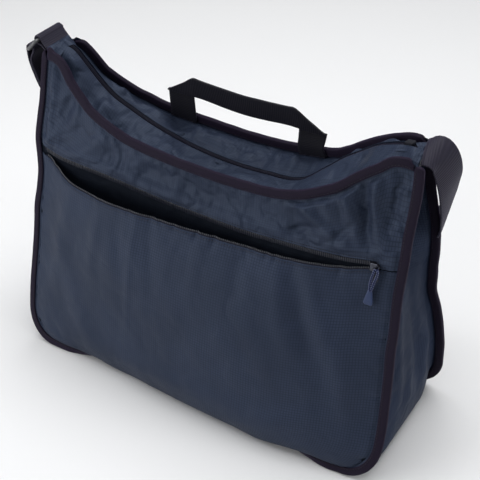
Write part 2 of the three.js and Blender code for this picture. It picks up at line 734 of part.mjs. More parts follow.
function mainTape(wall) {
  const rows = stripRows(wall);
  const outer = [];
  const inner = [];
  rows.forEach((row, k) => {
    const edge = row[row.length - 1];
    const along = rows[Math.min(k + 1, rows.length - 1)][row.length - 1].clone();
    along.sub(rows[Math.max(k - 1, 0)][row.length - 1]).normalize();
    const back = row[row.length - 2].clone().sub(edge).normalize();
    const up = along.clone().cross(back).normalize();
    if (up.z < 0) up.negate();
    outer.push(moved(moved(edge, up, -zipDrop), back, 1.8));
    inner.push(zipLow(row[1].x, zipDrop).add(point(0, wall.sign * 1.9, 0)));
  });
  return facingOut(sheet([outer, inner], tapeThick));
}

function zipLow(x, drop) {
  const along = zipSpot(x + 2, 0, 0).sub(zipSpot(x - 2, 0, 0)).normalize();
  return moved(zipSpot(x, 0, 0), point(-along.z, 0, along.x).normalize(), -drop);
}

// A flat bar along a line of points, with its width across and its height upright
function bar(points, sideways, wide, high) {
  const [w, h] = [wide / 2, high / 2];
  const outline = [[-w, -h], [w, -h], [w, h], [-w, h]];
  const frames = points.map((root, k) => {
    const along = points[Math.min(k + 1, points.length - 1)].clone().sub(points[Math.max(k - 1, 0)]);
    const fin = typeof sideways === "function" ? sideways(k) : sideways.clone();
    fin.addScaledVector(along, -fin.dot(along) / along.lengthSq()).normalize();
    return { root, fin, face: along.clone().cross(fin).normalize() };
  });
  return carry(frames, outline);
}

function mainChain() {
  const points = stripRows(front).map((row) => zipLow(row[1].x, zipDrop - 0.3));
  return bar(points, point(0, 1, 0), 2.8, 1.4);
}

// Front zip: tapes, teeth and the metal slider with its pull
const sliderFrom = 177;
const sliderTo = 186;
const uAtX = (x) => {
  const [left, right] = [rootX(front, -1, 226), rootX(front, 1, 226)];
  return (2 * x - right - left) / (right - left);
};
const zipRun = (from, to, count) => {
  return Array.from({ length: count + 1 }, (_, k) => uAtX(mix(from, to, k / count)));
};

function upperTape() {
  const rows = [lapTop + 1, 1.5].map((above) => {
    return zipColumns(fewerColumns).map((u) => wallOut(front, u, mouth("upper", u) + above, tapeLift));
  });
  return facingOut(sheet(rows, tapeThick));
}

function lowerTape() {
  const under = -(clothThick / 2 + layerGap + tapeThick / 2);
  const rows = [1.5, 11].map((below) => zipColumns(pocketColumns).map((u) => pocketSpot(u, below, under)));
  return facingOut(sheet(rows, tapeThick));
}

const upperSpot = (u) => wallOut(front, u, mouth("upper", u), tapeLift + 0.2);
const lowerSpot = (u) => pocketSpot(u, 0, -(clothThick / 2 + layerGap + tapeThick / 2));
const upperChain = () => bar(zipRun(-193, sliderFrom, 28).map(upperSpot), point(0, 0, 1), 2, 1);
const lowerChain = () => bar(zipRun(-193, sliderFrom, 28).map(lowerSpot), point(0, 0, 1), 2, 1);
function closedChain() {
  const run = zipRun(sliderTo, 194, 3);
  const points = run.map((u) => upperSpot(u).add(lowerSpot(u)).multiplyScalar(0.5));
  return bar(points, point(0, 0, 1), 2.4, 1);
}

// Webbing from rows of centre points, the direction of its width and its crosswise curl
function webbing(rows, wide, curl) {
  const points = rows.map((row, k) => {
    const ahead = rows[Math.min(k + 1, rows.length - 1)];
    const behind = rows[Math.max(k - 1, 0)];
    const along = point(ahead.x - behind.x, ahead.y - behind.y, ahead.z - behind.z).normalize();
    const width = point(row.wx ?? 0, row.wy ?? 1, row.wz ?? 0).normalize();
    const face = along.clone().cross(width).normalize();
    const spot = point(row.x, row.y, row.z);
    const across = curl ? [-1, 0, 1] : [-1, 1];
    return across.map((part) => {
      const side = moved(spot, width, (part * wide) / 2);
      return curl ? moved(side, face, (row.curl ?? 0) * (1 - part * part) * curl) : side;
    });
  });
  return facingOut(sheet(points, webThick));
}

// Shoulder strap: out of the right end, down behind the bag, over the floor and up to the ring
const strapRows = [
  { x: 200.15, y: 1.5, z: 331, wx: 0, wy: 0.97, wz: 0.2, curl: 3 },
  { x: 207, y: 3, z: 332.5, wx: 0, wy: 0.96, wz: 0.27, curl: 2 },
  { x: 213.5, y: 6, z: 329, wx: 0.08, wy: 0.94, wz: 0.32, curl: 1.5 },
  { x: 218.8, y: 9.5, z: 318.5, wx: 0.16, wy: 0.93, wz: 0.33, curl: 1.2 },
  { x: 221.8, y: 14, z: 302, wx: 0.16, wy: 0.95, wz: 0.25, curl: 1 },
  { x: 220.9, y: 20, z: 284, wx: 0.03, wy: 0.98, wz: 0.17, curl: 0.8 },
  { x: 218.3, y: 28, z: 264.5, wx: -0.1, wy: 0.99, wz: 0.1, curl: 0.6 },
  { x: 213.9, y: 39.5, z: 243, wx: -0.22, wy: 0.97, wz: 0.06, curl: 0.5 },
  { x: 209.8, y: 55, z: 222.3, wx: -0.36, wy: 0.93, wz: 0.04, curl: 0.5 },
  { x: 200.5, y: 71.5, z: 199, wx: -0.46, wy: 0.89, wz: 0.04, curl: 0.5 },
  { x: 190, y: 87, z: 173, wx: -0.51, wy: 0.86, wz: 0.03, curl: 0.5 },
  { x: 180, y: 104, z: 141, wx: -0.47, wy: 0.88, wz: 0.01, curl: 0.5 },
  { x: 168, y: 120, z: 104, wx: -0.34, wy: 0.94, wz: 0, curl: 0.5 },
  { x: 152, y: 131, z: 64, wx: -0.2, wy: 0.98, wz: 0, curl: 0.5 },
  { x: 131, y: 136, z: 29, wx: -0.08, wy: 1, wz: 0, curl: 0.4 },
  { x: 105, y: 138, z: 7.5, wx: 0, wy: 1, wz: 0, curl: 0.2 },
  { x: 76, y: 137, z: 1, wx: 0, wy: 1, wz: 0, curl: 0 },
  { x: 40, y: 135, z: 1, wx: 0, wy: 1, wz: 0, curl: 0 },
  { x: 0, y: 134, z: 1, wx: 0, wy: 1, wz: 0, curl: 0 },
  { x: -40, y: 135, z: 1, wx: 0, wy: 1, wz: 0, curl: 0 },
  { x: -76, y: 137, z: 1, wx: 0, wy: 1, wz: 0, curl: 0 },
  { x: -106, y: 138, z: 7.5, wx: 0, wy: 1, wz: 0, curl: 0.3 },
  { x: -133, y: 136, z: 28, wx: 0.08, wy: 1, wz: 0, curl: 0.5 },
  { x: -156, y: 130, z: 63, wx: 0.2, wy: 0.98, wz: 0, curl: 0.6 },
  { x: -175, y: 119, z: 106, wx: 0.36, wy: 0.93, wz: 0, curl: 0.6 },
  { x: -189, y: 101, z: 152, wx: 0.52, wy: 0.85, wz: 0.04, curl: 0.6 },
  { x: -200, y: 77, z: 194, wx: 0.6, wy: 0.8, wz: 0.08, curl: 0.6 },
  { x: -208, y: 56, z: 224, wx: 0.55, wy: 0.82, wz: 0.1, curl: 0.6 },
  { x: -215, y: 37, z: 248, wx: 0.4, wy: 0.9, wz: 0.1, curl: 0.4 },
  { x: -219, y: 20, z: 268, wx: 0.18, wy: 0.97, wz: 0.06, curl: 0 },
  { x: -221, y: 8, z: 286, wx: 0.05, wy: 1, wz: 0.02, curl: 0 },
  { x: -223, y: 2.5, z: 302, wx: 0, wy: 1, wz: 0, curl: 0 },
  { x: -225, y: 0, z: 316, wx: 0, wy: 1, wz: 0, curl: 0 },
];
const ringBar = { x: -222, z: 329.5, wrap: 4.2 };
const tabBar = { x: -211.5, z: 341, wrap: 4 };

function strap() {
  const lap = strapRows.slice(-4).map((row, k, list) => {
    const ahead = list[Math.min(k + 1, 3)];
    const behind = list[Math.max(k - 1, 0)];
    const along = point(ahead.x - behind.x, ahead.y - behind.y, ahead.z - behind.z).normalize();
    const width = point(row.wx, row.wy, row.wz);
    const off = along.cross(width).normalize().multiplyScalar(webThick + 0.6);
    if (off.x < 0) off.negate();
    return { ...row, x: row.x + off.x, y: row.y + off.y, z: row.z + off.z };
  });
  const turns = [190, 150, 115, 80, 45, 5, -25].map((turn) => {
    const angle = THREE.MathUtils.degToRad(turn);
    return {
      x: ringBar.x + ringBar.wrap * Math.cos(angle),
      y: 0,
      z: ringBar.z + ringBar.wrap * Math.sin(angle),
    };
  });
  return webbing([...strapRows, ...turns, ...lap.reverse()], strapWidth, 1);
}

// Tab at the left end, folded over the inner bar of the ring
function strapTab() {
  const rows = [
    { x: -200.15, z: 333.2 },
    { x: -204, z: 337 },
    { x: -207.6, z: 341.5 },
    { x: -209, z: 343.8 },
    { x: -211.5, z: 345 },
    { x: -214.2, z: 344 },
    { x: -215.5, z: 341 },
    { x: -214.3, z: 338 },
    { x: -211.5, z: 336.6 },
    { x: -208, z: 335.6 },
    { x: -204.6, z: 332.8 },
    { x: -200.15, z: 329.4 },
  ];
  return webbing(rows.map((row) => ({ ...row, y: 0.5 })), strapWidth - 2, 0);
}

// Moulded ring between the tab and the strap
function strapRing() {
  const rounded = (path, halfX, halfY, radius) => {
    path.moveTo(halfX, -halfY + radius);
    path.lineTo(halfX, halfY - radius);
    path.absarc(halfX - radius, halfY - radius, radius, 0, Math.PI / 2, false);
    path.lineTo(-halfX + radius, halfY);
    path.absarc(-halfX + radius, halfY - radius, radius, Math.PI / 2, Math.PI, false);
    path.lineTo(-halfX, -halfY + radius);
    path.absarc(-halfX + radius, -halfY + radius, radius, Math.PI, Math.PI * 1.5, false);
    path.lineTo(halfX - radius, -halfY);
    path.absarc(halfX - radius, -halfY + radius, radius, Math.PI * 1.5, Math.PI * 2, false);
    return path;
  };
  const reach = Math.hypot(ringBar.x - tabBar.x, ringBar.z - tabBar.z);
  const shape = rounded(new THREE.Shape(), strapWidth / 2 + 5, reach / 2 + 2, 3);
  shape.holes.push(rounded(new THREE.Path(), strapWidth / 2 + 0.8, reach / 2 - 2, 1));
  const geometry = new THREE.ExtrudeGeometry(shape, {
    depth: 2.6,
    bevelEnabled: true,
    bevelSize: 0.6,
    bevelThickness: 0.6,
    bevelOffset: -0.6,
    bevelSegments: 1,
    curveSegments: 2,
  });
  geometry.translate(0, 0, -1.3);
  const along = point(tabBar.x - ringBar.x, 0, tabBar.z - ringBar.z).normalize();
  const across = point(0, 1, 0);
  const basis = new THREE.Matrix4().makeBasis(across, along, across.clone().cross(along));
  basis.setPosition((ringBar.x + tabBar.x) / 2, 0.3, (ringBar.z + tabBar.z) / 2);
  return geometry.applyMatrix4(basis);
}

// Carry handle on the back rim: lower edge then upper edge, from the foot to the middle
const handleRows = [
  { x: 59.5, y: 33, z: 290, ox: 89.5, oy: 33, oz: 295 },
  { x: 59.8, y: 32.5, z: 296, ox: 85, oy: 31.5, oz: 303.5 },
  { x: 58, y: 32, z: 298.5, ox: 73, oy: 29, oz: 313 },
  { x: 53, y: 32, z: 298.4, ox: 58, oy: 27, oz: 321.3 },
  { x: 40, y: 32, z: 297, ox: 43, oy: 27, oz: 319.7 },
  { x: 20, y: 32, z: 295.2, ox: 21, oy: 27, oz: 318.6 },
];
const handleMiddle = { x: 0, y: 32, z: 294.4, ox: 0, oy: 27, oz: 317.8 };

function handle() {
  const off = -(finHalf + layerGap + webThick / 2);
  const uBack = (x) => {
    const [left, right] = [rootX(back, -1, rimRootAtCorner), rootX(back, 1, rimRootAtCorner)];
    return (2 * x - right - left) / (right - left);
  };
  const foot = (side, far) => [59.5, 89.5].map((x) => {
    const frame = rimFrame(back, uBack(side * x));
    return moved(moved(frame.root, frame.fin, far), frame.face, off);
  });
  const pair = (row, side) => [point(side * row.x, row.y, row.z), point(side * row.ox, row.oy, row.oz)];
  const half = (side) => {
    const arch = handleRows.map((row) => pair(row, side));
    return [foot(side, 2.2), foot(side, finWidth + 0.6), ...arch];
  };
  const rows = [...half(1), pair(handleMiddle, 1), ...half(-1).reverse()];
  return facingOut(sheet(rows, webThick));
}

// Slider of the front zip with its pull, cord loop and tab, each hanging at its own turn
const sliderMiddle = uAtX((sliderFrom + sliderTo) / 2);
const sliderHeight = 227.4;
const pullOut = 7.6;
const pullLength = 13.5;
const holeInset = 2.5;
const loopLong = 5.2;
const loopDeep = 2.4;
const hangTurns = { pull: 21, cord: -24, tab: -3 };

const hangStep = (turn, far) => {
  const angle = THREE.MathUtils.degToRad(turn);
  return [far * Math.sin(angle), -far * Math.cos(angle)];
};

// Frame in front of the front wall at the slider: a spot across and up, turned by some degrees
function beforeWall([across, up], out, turn) {
  const normal = wallNormal(front, sliderMiddle, 215);
  const side = point(1, 0, 0).addScaledVector(normal, -normal.x).normalize();
  const rise = normal.clone().cross(side);
  const spot = wallOut(front, sliderMiddle, sliderHeight, 0).addScaledVector(normal, out);
  spot.addScaledVector(side, across).addScaledVector(rise, up);
  const basis = new THREE.Matrix4().makeBasis(side, rise, normal);
  basis.multiply(new THREE.Matrix4().makeRotationZ(THREE.MathUtils.degToRad(turn)));
  return basis.setPosition(spot);
}

function flatPiece(shape, depth, cut) {
  const flat = new THREE.ExtrudeGeometry(shape, {
    depth: depth - 2 * cut,
    bevelEnabled: true,
    bevelSize: cut,
    bevelThickness: cut,
    bevelOffset: -cut,
    bevelSegments: 1,
    curveSegments: 5,
  });
  return flat.translate(0, 0, cut - depth / 2);
}

function outlineOf(corners) {
  const shape = new THREE.Shape();
  corners.forEach(([x, y], k) => (k ? shape.lineTo(x, y) : shape.moveTo(x, y)));
  return shape;
}

const pullHole = hangStep(hangTurns.pull, pullLength - holeInset);
const tabHole = hangStep(hangTurns.cord, 2 * loopLong).map((far, k) => far + pullHole[k]);

function sliderBody() {
  const shape = outlineOf([[-4.4, -3.8], [2.4, -4], [4.6, -2.2], [4.6, 2.2], [2.4, 4], [-4.4, 3.8]]);
  return flatPiece(shape, 3.4, 0.5).applyMatrix4(beforeWall([0, 0], tapeLift + 2.8, 0));
}

function pullBar() {
  const end = holeInset - pullLength;
  const shape = outlineOf([[-1.4, 0], [-1.4, end + 2.7], [-2.1, end + 1.1]]);
  shape.absarc(0, end, 2.3, Math.PI * 0.9, Math.PI * 2.1, false);
  shape.lineTo(2.1, end + 1.1);
  shape.lineTo(1.4, end + 2.7);
  shape.lineTo(1.4, 0);
  shape.holes.push(new THREE.Path().absarc(0, end, 1.3, 0, Math.PI * 2, true));
  return flatPiece(shape, 1.4, 0.2).applyMatrix4(beforeWall([0, 0], pullOut, hangTurns.pull));
}

function pullCord() {
  const loop = new THREE.TorusGeometry(loopDeep, 0.6, 7, 12).rotateZ(Math.PI / 12);
  const spot = loop.attributes.position;
  for (let i = 0; i < spot.count; i += 1) {
    spot.setY(i, spot.getY(i) + Math.sign(spot.getY(i)) * (loopLong - loopDeep));
  }
  const middle = pullHole.map((far, k) => (far + tabHole[k]) / 2);
  return loop.rotateY(Math.PI / 2).applyMatrix4(beforeWall(middle, pullOut, hangTurns.cord));
}

function pullTab() {
  const shape = outlineOf([[-2.2, 2.6], [-3.9, -13.8], [-3, -15], [3, -15], [3.9, -13.8], [2.2, 2.6]]);
  shape.holes.push(new THREE.Path().absarc(0, 0, 1.5, 0, Math.PI * 2, true));
  return flatPiece(shape, 1.8, 0.4).applyMatrix4(beforeWall(tabHole, pullOut, hangTurns.tab));
}

// Slider parked at the right end of the closed top zip
function topSlider() {
  const shape = outlineOf([[-4.5, -3.4], [3, -3.4], [4.5, -1.6], [4.5, 1.6], [3, 3.4], [-4.5, 3.4]]);
  const flat = flatPiece(shape, 3, 0.5).translate(0, 0, 1.5);
  const low = zipSpot(180, 0, 0);
  const high = zipSpot(189, 0, 0);
  const along = high.clone().sub(low).normalize();
  const across = point(0, 1, 0).addScaledVector(along, -along.y).normalize();
  const up = along.clone().cross(across);
  const basis = new THREE.Matrix4().makeBasis(along, across, up);
  basis.setPosition(low.add(high).multiplyScalar(0.5).addScaledVector(up, -0.3));
  return flat.applyMatrix4(basis);
}

const material = (name, color, roughness, metalness = 0) => {
  return new THREE.MeshStandardMaterial({ name, color, roughness, metalness, side: THREE.FrontSide });
};

const bag = new THREE.Group();
bag.name = "shoulder_bag";

function addPart(name, geometry, color, roughness, metalness) {
  const mesh = new THREE.Mesh(geometry, material(`${name}_finish`, color, roughness, metalness));
  geometry.computeVertexNormals();
  mesh.name = name;
  bag.add(mesh);
}

const clothColor = 0x2a3446;
const bindColor = 0x241f2b;
const webColor = 0x33323c;
const zipColor = 0x1b1c24;
addPart("pocket_back_wall", pocketBack(), clothColor, 0.6);
addPart("upper_front", upperFront(), clothColor, 0.6);
addPart("pocket_front", pocketFront(), clothColor, 0.6);
addPart("back_wall", backPanel(), clothColor, 0.6);
addPart("gusset", gusset(), clothColor, 0.6);
addPart("front_side_binding", sideBinding(front), bindColor, 0.8);
addPart("back_side_binding", sideBinding(back), bindColor, 0.8);
addPart("front_rim_binding", rimBinding(front), bindColor, 0.8);
addPart("back_rim_binding", rimBinding(back), bindColor, 0.8);
addPart("top_cloth_front", topCloth(front), clothColor, 0.6);
addPart("top_cloth_back", topCloth(back), clothColor, 0.6);
addPart("top_zip_tape_front", mainTape(front), zipColor, 0.8);
addPart("top_zip_tape_back", mainTape(back), zipColor, 0.8);
addPart("top_zip_teeth", mainChain(), zipColor, 0.5);
addPart("front_zip_tape_upper", upperTape(), zipColor, 0.8);
addPart("front_zip_tape_lower", lowerTape(), zipColor, 0.8);
addPart("front_zip_teeth_upper", upperChain(), zipColor, 0.5);
addPart("front_zip_teeth_lower", lowerChain(), zipColor, 0.5);
addPart("front_zip_teeth_closed", closedChain(), zipColor, 0.5);

addPart("shoulder_strap", strap(), webColor, 0.85);
addPart("strap_tab", strapTab(), webColor, 0.85);
addPart("strap_ring", strapRing(), 0x3a3b40, 0.45);
addPart("carry_handle", handle(), 0x1d1d22, 0.85);

addPart("front_zip_slider", sliderBody(), 0x8b8d92, 0.35, 0.9);
addPart("front_zip_pull", pullBar(), 0x8b8d92, 0.35, 0.9);
addPart("pull_cord", pullCord(), 0x3a4a66, 0.8);
addPart("pull_tab", pullTab(), 0x5b7396, 0.5);
addPart("top_zip_slider", topSlider(), 0x2a2b30, 0.4, 0.6);

export default bag;
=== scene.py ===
import json
import math

import bmesh
import bpy
import numpy as np
from mathutils import Matrix, Vector

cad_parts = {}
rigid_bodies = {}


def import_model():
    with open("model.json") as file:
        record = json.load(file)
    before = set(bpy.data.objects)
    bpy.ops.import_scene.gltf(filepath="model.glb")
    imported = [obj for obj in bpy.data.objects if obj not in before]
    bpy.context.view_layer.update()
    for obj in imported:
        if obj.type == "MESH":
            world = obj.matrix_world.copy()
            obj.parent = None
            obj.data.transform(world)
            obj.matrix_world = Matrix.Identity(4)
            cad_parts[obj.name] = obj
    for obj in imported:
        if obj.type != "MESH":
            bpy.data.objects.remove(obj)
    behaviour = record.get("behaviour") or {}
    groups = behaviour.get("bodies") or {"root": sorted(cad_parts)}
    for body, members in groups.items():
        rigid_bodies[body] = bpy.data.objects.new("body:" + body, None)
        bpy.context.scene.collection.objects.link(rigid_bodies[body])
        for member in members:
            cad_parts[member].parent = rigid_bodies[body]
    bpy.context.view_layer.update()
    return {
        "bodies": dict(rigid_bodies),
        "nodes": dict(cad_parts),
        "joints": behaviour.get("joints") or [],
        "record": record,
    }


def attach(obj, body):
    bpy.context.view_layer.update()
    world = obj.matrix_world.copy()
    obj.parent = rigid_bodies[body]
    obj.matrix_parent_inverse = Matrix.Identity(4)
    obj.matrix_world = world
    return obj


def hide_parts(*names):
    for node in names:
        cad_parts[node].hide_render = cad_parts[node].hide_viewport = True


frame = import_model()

scene = bpy.context.scene
scene.view_settings.view_transform = "Standard"
print("frame loaded")

# camera, as fitted to the photograph
cameraView = {
    "place": (0.4969, -0.8063, 0.8466),
    "right": (0.8568, 0.5156, 0.0035),
    "up": (-0.3041, 0.4999, 0.8109),
    "ahead": (-0.4164, 0.6959, -0.5851),
    "lens": 85.6,
    "sensor": 36,
}


def makeCamera():
    data = bpy.data.cameras.new("camera")
    data.lens = cameraView["lens"]
    data.sensor_width = cameraView["sensor"]
    camera = bpy.data.objects.new("camera", data)
    scene.collection.objects.link(camera)
    right, up, ahead = (Vector(cameraView[key]) for key in ("right", "up", "ahead"))
    turn = Matrix((right, up, -ahead)).transposed()
    camera.matrix_world = Matrix.Translation(cameraView["place"]) @ turn.to_4x4()
    scene.camera = camera


makeCamera()
print("camera made")


# shader helper: a wire is a socket that takes part in Python maths
class Wire:
    def __init__(self, look, socket):
        self.look = look
        self.socket = socket

    def step(self, operation, other=None, turned=False):
        values = [self] if other is None else [other, self] if turned else [self, other]
        return self.look.node("ShaderNodeMath", {"operation": operation}, dict(enumerate(values)))

    def __add__(self, other):
        return self.step("ADD", other)

    def __radd__(self, other):
        return self.step("ADD", other, True)

    def __sub__(self, other):
        return self.step("SUBTRACT", other)

    def __rsub__(self, other):
        return self.step("SUBTRACT", other, True)

    def __mul__(self, other):
        return self.step("MULTIPLY", other)

    def __rmul__(self, other):
        return self.step("MULTIPLY", other, True)

    def __truediv__(self, other):
        return self.step("DIVIDE", other)

    def __pow__(self, other):
        return self.step("POWER", other)

    def __abs__(self):
        return self.step("ABSOLUTE")

    def fract(self):
        return self.step("FRACT")

    def sine(self):
        return self.step("SINE")

    def most(self, other):
        return self.step("MAXIMUM", other)

    def smooth(self, low, high):
        sockets = {"Value": self, "From Min": low, "From Max": high}
        return self.look.node("ShaderNodeMapRange", {"interpolation_type": "SMOOTHSTEP"}, sockets)

    # even waves between 0 and 1, one for each length
    def waves(self, length):
        return (self * (2 * math.pi / length)).sine() * 0.5 + 0.5


class Look:
    def __init__(self, name, fixed):
        self.material = bpy.data.materials.new(name)
        self.material.use_nodes = True
        self.tree = self.material.node_tree
        self.shader = self.tree.nodes["Principled BSDF"]
        for socket, value in fixed.items():
            self.shader.inputs[socket].default_value = value

    # one method for every node: its type, its settings, then its sockets
    def node(self, kind, settings=None, sockets=None, out=0):
        made = self.tree.nodes.new(kind)
        for key, value in (settings or {}).items():
            setattr(made, key, value)
        for key, value in (sockets or {}).items():
            if isinstance(value, Wire):
                self.tree.links.new(value.socket, made.inputs[key])
            else:
                made.inputs[key].default_value = value
        return Wire(self, made.outputs[out])

    def feed(self, color, roughness=None, normal=None):
        for socket, wire in (("Base Color", color), ("Roughness", roughness), ("Normal", normal)):
            if wire is not None:
                self.tree.links.new(wire.socket, self.shader.inputs[socket])

    def uv(self):
        place = self.node("ShaderNodeUVMap", {"uv_map": "cloth"})
        split = self.node("ShaderNodeSeparateXYZ", {}, {"Vector": place})
        return split, Wire(self, split.socket.node.outputs[1])

    def noise(self, scale, detail=3, roughness=0.5, stretch=None):
        vector = self.node("ShaderNodeTexCoord", {}, {}, "Object")
        if stretch:
            vector = self.node("ShaderNodeVectorMath", {"operation": "MULTIPLY"}, {0: vector, 1: stretch})
        sockets = {"Vector": vector, "Scale": scale, "Detail": detail, "Roughness": roughness}
        return self.node("ShaderNodeTexNoise", {}, sockets)

    def blend(self, part, low, high):
        def four(color):
            return color if isinstance(color, Wire) else (*color, 1)
        settings = {"data_type": "RGBA", "clamp_factor": True}
        return self.node("ShaderNodeMix", settings, {0: part, 6: four(low), 7: four(high)}, 2)

    def bump(self, height, distance, strength, under=None):
        sockets = {"Height": height, "Distance": distance, "Strength": strength}
        if under:
            sockets["Normal"] = under
        return self.node("ShaderNodeBump", {}, sockets)


# finishes
clothFinish = {
    "thread": (0.0105, 0.0142, 0.0265),
    "face": (0.0212, 0.0285, 0.0505),
    "bright": (0.0275, 0.037, 0.065),
    "pitch": 0.0028,
    "fine": 0.0006,
    "lineWidth": 0.3,
    "roughness": 0.5,
    "specular": 0.17,
    "tint": (0.62, 0.76, 1, 1),
    "crumpleDeep": 0.0023,
    "weaveDeep": 0.00014,
}


# thin woven cloth: a square grid of thicker threads, a fine weave and crumples
def clothLook(name, shade=1.0, crumple=0.3, gloss=1.0):
    specular = clothFinish["specular"] * gloss
    look = Look(name, {"Specular IOR Level": specular, "Specular Tint": clothFinish["tint"]})
    across, along = look.uv()

    def lines(wire):
        low = 0.5 - clothFinish["lineWidth"] / 2
        return abs((wire / clothFinish["pitch"]).fract() - 0.5).smooth(low, 0.5)

    def shaded(key):
        return tuple(value * shade for value in clothFinish[key])
    grid = lines(across).most(lines(along))
    weave = across.waves(clothFinish["fine"]) * along.waves(clothFinish["fine"])
    cloudy = look.noise(11, 4, 0.55)
    large = abs(look.noise(13, 2, 0.5, (1, 1, 0.7)) - 0.5).smooth(0, 0.1)
    small = abs(look.noise(31, 2, 0.5) - 0.5).smooth(0, 0.12)
    soft = look.bump(large * 0.65 + small * 0.35, clothFinish["crumpleDeep"] * crumple, 0.9)
    face = look.blend(cloudy.smooth(0.35, 0.7), shaded("face"), shaded("bright"))
    look.feed(color=look.blend(grid * 0.8 + weave * 0.15, face, shaded("thread")),
              roughness=clothFinish["roughness"] + (cloudy - 0.5) * 0.16 + grid * 0.1,
              normal=look.bump(grid * 0.7 + weave * 0.3, clothFinish["weaveDeep"], 0.6, soft))
    return look.material


def fabricLook(name, specular, sheen, sheenRough, tint):
    return Look(name, {"Specular IOR Level": specular, "Sheen Weight": sheen,
                       "Sheen Roughness": sheenRough, "Sheen Tint": (*tint, 1)})


# woven edging and zip tape: crosswise ribs and finer threads along them
tapeFinish = {
    "binding": {"colors": ((0.0052, 0.0034, 0.0092), (0.0128, 0.0086, 0.0205)), "ribs": 0.0011},
    "zip": {"colors": ((0.0055, 0.0062, 0.0115), (0.0135, 0.015, 0.0255)), "ribs": 0.0009},
    "fine": 0.0007,
}


def tapeLook(name, colors, ribs):
    look = fabricLook(name, 0.12, 0.06, 0.5, (0.6, 0.42, 1))
    across, along = look.uv()
    rib, fine = along.waves(ribs), across.waves(tapeFinish["fine"])
    cloudy = look.noise(90, 4, 0.6)
    look.feed(color=look.blend(cloudy * 0.55 + rib * 0.35, *colors),
              roughness=0.7 + (cloudy - 0.5) * 0.2,
              normal=look.bump(rib * 0.7 + fine * 0.3, 0.0002, 0.6, look.bump(cloudy, 0.0006, 0.35)))
    return look.material


# webbing: ribs across the width, a plain selvedge along both edges
webFinish = {
    "strap": {"colors": ((0.0125, 0.0115, 0.0205), (0.031, 0.0285, 0.0465)), "wide": 0.038},
    "handle": {"colors": ((0.0032, 0.0033, 0.006), (0.0092, 0.0092, 0.0155)), "wide": 0.026},
    "ribs": 0.0021,
}


def webLook(name, colors, wide):
    look = fabricLook(name, 0.16, 0.09, 0.4, (0.7, 0.64, 1))
    across, along = look.uv()
    rib = along.waves(webFinish["ribs"])
    edge = abs(across).smooth(wide * 0.43, wide * 0.49)
    cloudy = look.noise(60, 4, 0.6)
    look.feed(color=look.blend(cloudy * 0.45 + rib * 0.3 + edge * 0.3, *colors),
              roughness=0.62 + (cloudy - 0.5) * 0.2, normal=look.bump(rib, 0.00035, 0.6))
    return look.material


# braided cord: pale and dark strands crossing
cordFinish = {"dark": (0.007, 0.013, 0.048), "pale": (0.24, 0.26, 0.38), "braid": 0.0042}


def cordLook(name):
    look = Look(name, {"Specular IOR Level": 0.12})
    across, along = look.uv()
    turn = 2 * math.pi / cordFinish["braid"]
    strands = ((across + along) * turn).sine() * ((across - along) * turn).sine() * 0.5 + 0.5
    look.feed(color=look.blend(strands.smooth(0.68, 0.9), cordFinish["dark"], cordFinish["pale"]),
              roughness=strands * 0.2 + 0.5, normal=look.bump(strands, 0.0003, 0.7))
    return look.material


# moulded pieces, metal and thread: two colours, then what differs from the usual
plainFinish = {
    "teeth": {"low": (0.006, 0.0072, 0.0135), "high": (0.034, 0.04, 0.06), "rough": 0.35},
    # lower teeth: their pale speckles are painted glints of light on the coil
    "lipTeethPaintedGlint": {"low": (0.004, 0.0046, 0.008), "high": (0.17, 0.178, 0.205), "rough": 0.25, "fine": 520},
    "ring": {"low": (0.05, 0.052, 0.056), "high": (0.1, 0.103, 0.11), "rough": 0.3, "coat": 0.3},
    "darkSlider": {"low": (0.006, 0.0065, 0.01), "high": (0.016, 0.017, 0.025), "rough": 0.5, "specular": 0.15},
    "slider": {"low": (0.014, 0.015, 0.021), "high": (0.1, 0.105, 0.13), "rough": 0.24, "metal": 0.85},
    "tab": {"low": (0.015, 0.028, 0.076), "high": (0.025, 0.043, 0.11), "rough": 0.36, "specular": 0.3},
    "thread": {"low": (0.009, 0.0085, 0.013), "high": (0.024, 0.023, 0.032), "rough": 0.6,
               "fine": 900, "specular": 0.2},
}


def plainLook(name, low, high, rough, metal=0.0, coat=0.0, fine=300, specular=0.5):
    fixed = {"Metallic": metal, "Coat Weight": coat, "Coat Roughness": 0.2, "Specular IOR Level": specular}
    look = Look(name, fixed)
    cloudy = look.noise(fine, 4, 0.6)
    look.feed(color=look.blend(cloudy, low, high), roughness=rough + (cloudy - 0.5) * 0.14,
              normal=look.bump(cloudy, 0.00008, 0.4))
    return look.material


finishes = {
    "cloth": clothLook("clothFinish"),
    "crumpled": clothLook("crumpledFinish", 1.0, 1.7, 1.25),
    # the gusset: cloth colours raised 1.2 times as painted sheen, in place of the glossy reflection cut to 0.2
    "gusset": clothLook("gussetPaintedSheenFinish", 1.2, 0.8, 0.2),
    # the pocket's inner wall: the same cloth darkened to 0.16, painted shade for the dark inside of the pocket mouth
    "paintedShadeLining": clothLook("paintedShadeLiningFinish", 0.16, 0.5, 0.4),
    "binding": tapeLook("bindingFinish", **tapeFinish["binding"]),
    "zipTape": tapeLook("zipTapeFinish", **tapeFinish["zip"]),
    "webbing": webLook("strapFinish", **webFinish["strap"]),
    "handle": webLook("handleFinish", **webFinish["handle"]),
    "cord": cordLook("cordFinish"),
    **{name: plainLook(name + "Finish", **values) for name, values in plainFinish.items()},
}
print("finishes made")


